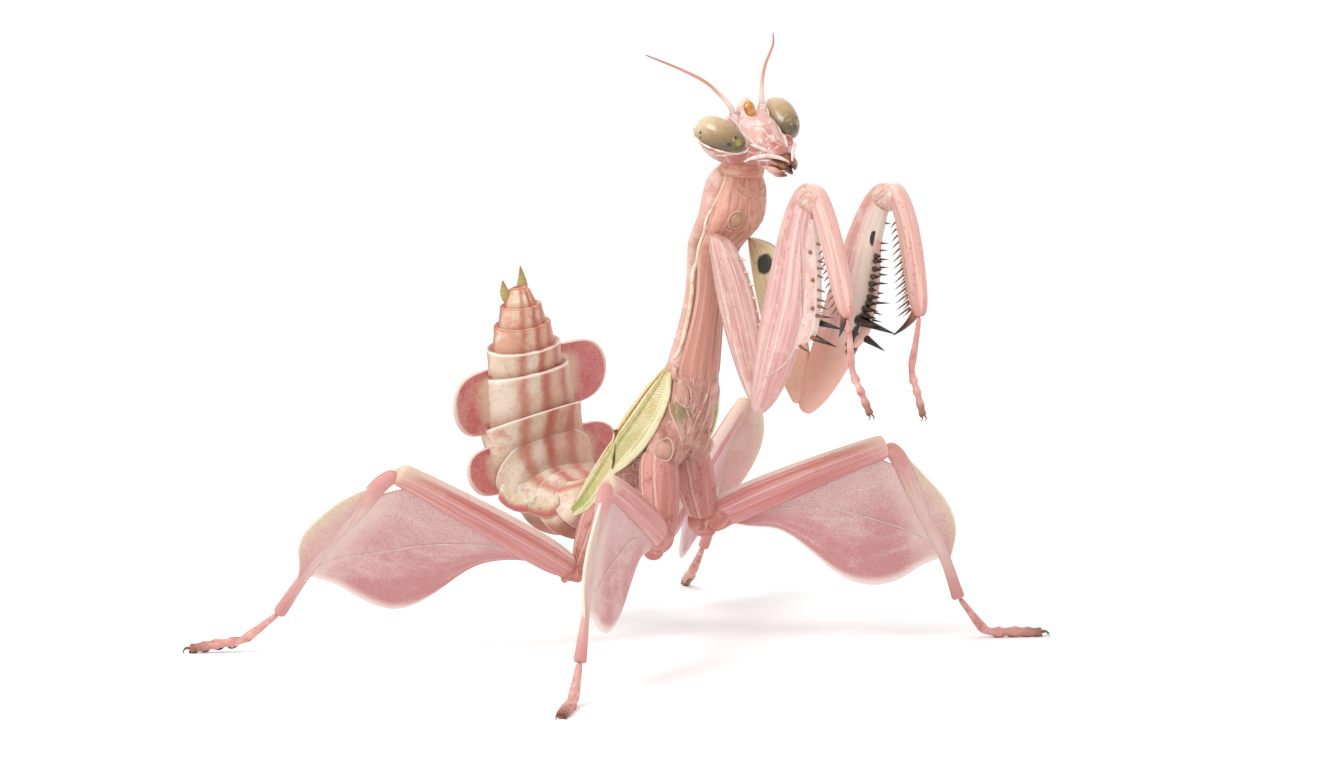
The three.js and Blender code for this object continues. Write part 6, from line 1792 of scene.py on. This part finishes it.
# %% Dress the head and the body
hand_over(shell, HEAD_PINK, "pink_shell", "head")
hand_over(face_ridges, RIDGE_WHITE, "pink_shell")
hand_over(eye_rims, RIM_PINK, "pink_shell")
for side in SIDES:
    hand_over(eyes[side], EYE_BEIGE, "eye_beige", f"eye_{SIDES[side]}")
    hand_over(feelers[side], FEELER, "feeler_red", f"antenna_{SIDES[side]}")
    hand_over(cerci[side], STRAW, "tail_straw", f"cercus_{SIDES[side]}")
    for name in ("fore", "hind"):
        hand_over(pads[name, side][0], PAD_GREEN if name == "fore" else HIND_PAD_GREEN, "pad_green", f"{name}_wing_pad_{SIDES[side]}")
        hand_over(pads[name, side][1], PAD_MARGIN, "pad_green")
hand_over(ocellus, AMBER, "eye_beige")
hand_over(lip, MOUTH_GOLD, "mouth_brown", "mouthparts")
hand_over(jaws, MOUTH_BROWN, "mouth_brown")
hand_over(palps, PALP, "mouth_brown")
hand_over(neck, NECK_SALMON, "salmon_shell", "neck")
hand_over(pronotum, PRONOTUM_PINK, "pink_shell", "pronotum")
hand_over(prosternum, SALMON, "salmon_shell", "prosternum")
hand_over(margins, MARGIN_CREAM, "pink_shell")
hand_over(chest_seams, FOLD_SALMON, "salmon_shell")
hand_over(sockets, SOCKET_SKIN, "salmon_shell")
hand_over(side_seams, SEAM_PEACH, "rose_shell")
hand_over(bulges, PLATE_ROSE, "rose_shell")
hand_over(pad_seams, SEAM_DARK, "pad_green")
hand_over(knobs, KNOB_PINK, "pad_green")
hand_over(trunk, THORAX_ROSE, "rose_shell", "mesothorax", "metathorax")
for number, ring in rings.items():
    hand_over(ring, TIP_ORANGE if number > 7 else RING_CREAM, "cream_shell", f"abdomen_ring_{number}")
for pair in lobes.values():
    hand_over(pair, LOBE_ROSE, "cream_shell")
hand_over(flaps, FLAP_CREAM, "cream_shell")

# %% Dress the legs
for leg, made in walking.items():
    hand_over(made["coxa"], COXA_ROSE, "rose_shell", f"{leg}_coxa")
    hand_over(made["trochanter"], TROCHANTER, "rose_shell")
    hand_over(made["femur"], SHANK_ROSE, "petal_pink", f"{leg}_femur")
    hand_over(made["petal"], PETAL_PINK, "petal_pink")
    hand_over(made["tibia"], ROD_ROSE, "coral_foot", f"{leg}_tibia")
    hand_over(made["outer_petal"], TURNED_PEACH if leg == "hind_left" else LOBE_CREAM, "petal_pink")
    hand_over(made["vein"], VEIN_PALE, "petal_pink")
    hand_over(made["foot"], FOOT_CORAL, "coral_foot", f"{leg}_foot")
    hand_over(made["foot_pads"], HORN, "mouth_brown")
for leg, made in grasping.items():
    hand_over(made["coxa"], ARM_COXA if leg == "fore_right" else LEFT_COXA, "pink_shell", f"{leg}_coxa")
    hand_over(made["femur"], ARM_PINK if leg == "fore_right" else INNER_PALE, "pink_shell", f"{leg}_femur")
    hand_over(made["flange"], FLANGE_PINK if leg == "fore_right" else INNER_FLANGE, "pink_shell")
    hand_over(made["ridges"], RIDGE_PINK, "pink_shell")
    hand_over(made["tibia"], SHIN_PINK, "pink_shell", f"{leg}_tibia")
    hand_over(made["knee"], KNEE_CREAM, "pink_shell")
    hand_over(made["teeth"], RIDGE_PINK, "pink_shell")
    hand_over(made["foot"], FOOT_CORAL, "coral_foot", f"{leg}_foot")
    hand_over(made["black_spines"], BLACK_HORN, "mouth_brown")
    for part in ("foot_pads", "claw", "dark_spines", "thin_spines"):
        hand_over(made[part], HORN, "mouth_brown")
bpy.data.objects.remove(first_spine)

# %% Studio
clear_selection()
bpy.ops.mesh.primitive_plane_add(size=4)
floor = bpy.context.object
floor.name = "studio_floor"
floor_finish = bpy.data.materials.new("studio_white")
floor_finish.use_nodes = True
floor_shader = floor_finish.node_tree.nodes["Principled BSDF"]
floor_shader.inputs["Base Color"].default_value = (0.97, 0.97, 0.97, 1)
floor_shader.inputs["Roughness"].default_value = 0.9
floor.data.materials.append(floor_finish)

world = bpy.data.worlds.new("studio")
bpy.context.scene.world = world
world.use_nodes = True
world.node_tree.nodes["Background"].inputs["Color"].default_value = (1, 1, 1, 1)
world.node_tree.nodes["Background"].inputs["Strength"].default_value = 1.04

TARGET = Vector((0, 0, 16.5)) * MM + ORIGIN


def studio_light(name, azimuth, elevation, distance, size, power):
    a, e = math.radians(azimuth), math.radians(elevation)
    back = Vector((math.sin(a) * math.cos(e), -math.cos(a) * math.cos(e), math.sin(e)))
    bpy.ops.object.light_add(type="AREA", location=TARGET + back * distance, rotation=back.to_track_quat("Z", "Y").to_euler())
    light = bpy.context.object
    light.name = name
    light.data.energy = power
    light.data.size = size
    return light


studio_light("key_light", -85, 48, 0.3, 0.13, 0.5)
azimuth, elevation = math.radians(-44.2), math.radians(5.5)
back = Vector((math.sin(azimuth) * math.cos(elevation), -math.cos(azimuth) * math.cos(elevation), math.sin(elevation)))
bpy.ops.object.camera_add(location=TARGET + back * 0.25, rotation=back.to_track_quat("Z", "Y").to_euler())
camera = bpy.context.object
camera.data.sensor_width = 36
camera.data.lens = 4075 / 1344 * 36
camera.data.clip_start = 0.01
bpy.context.scene.camera = camera
bpy.context.scene.view_settings.view_transform = "Standard"
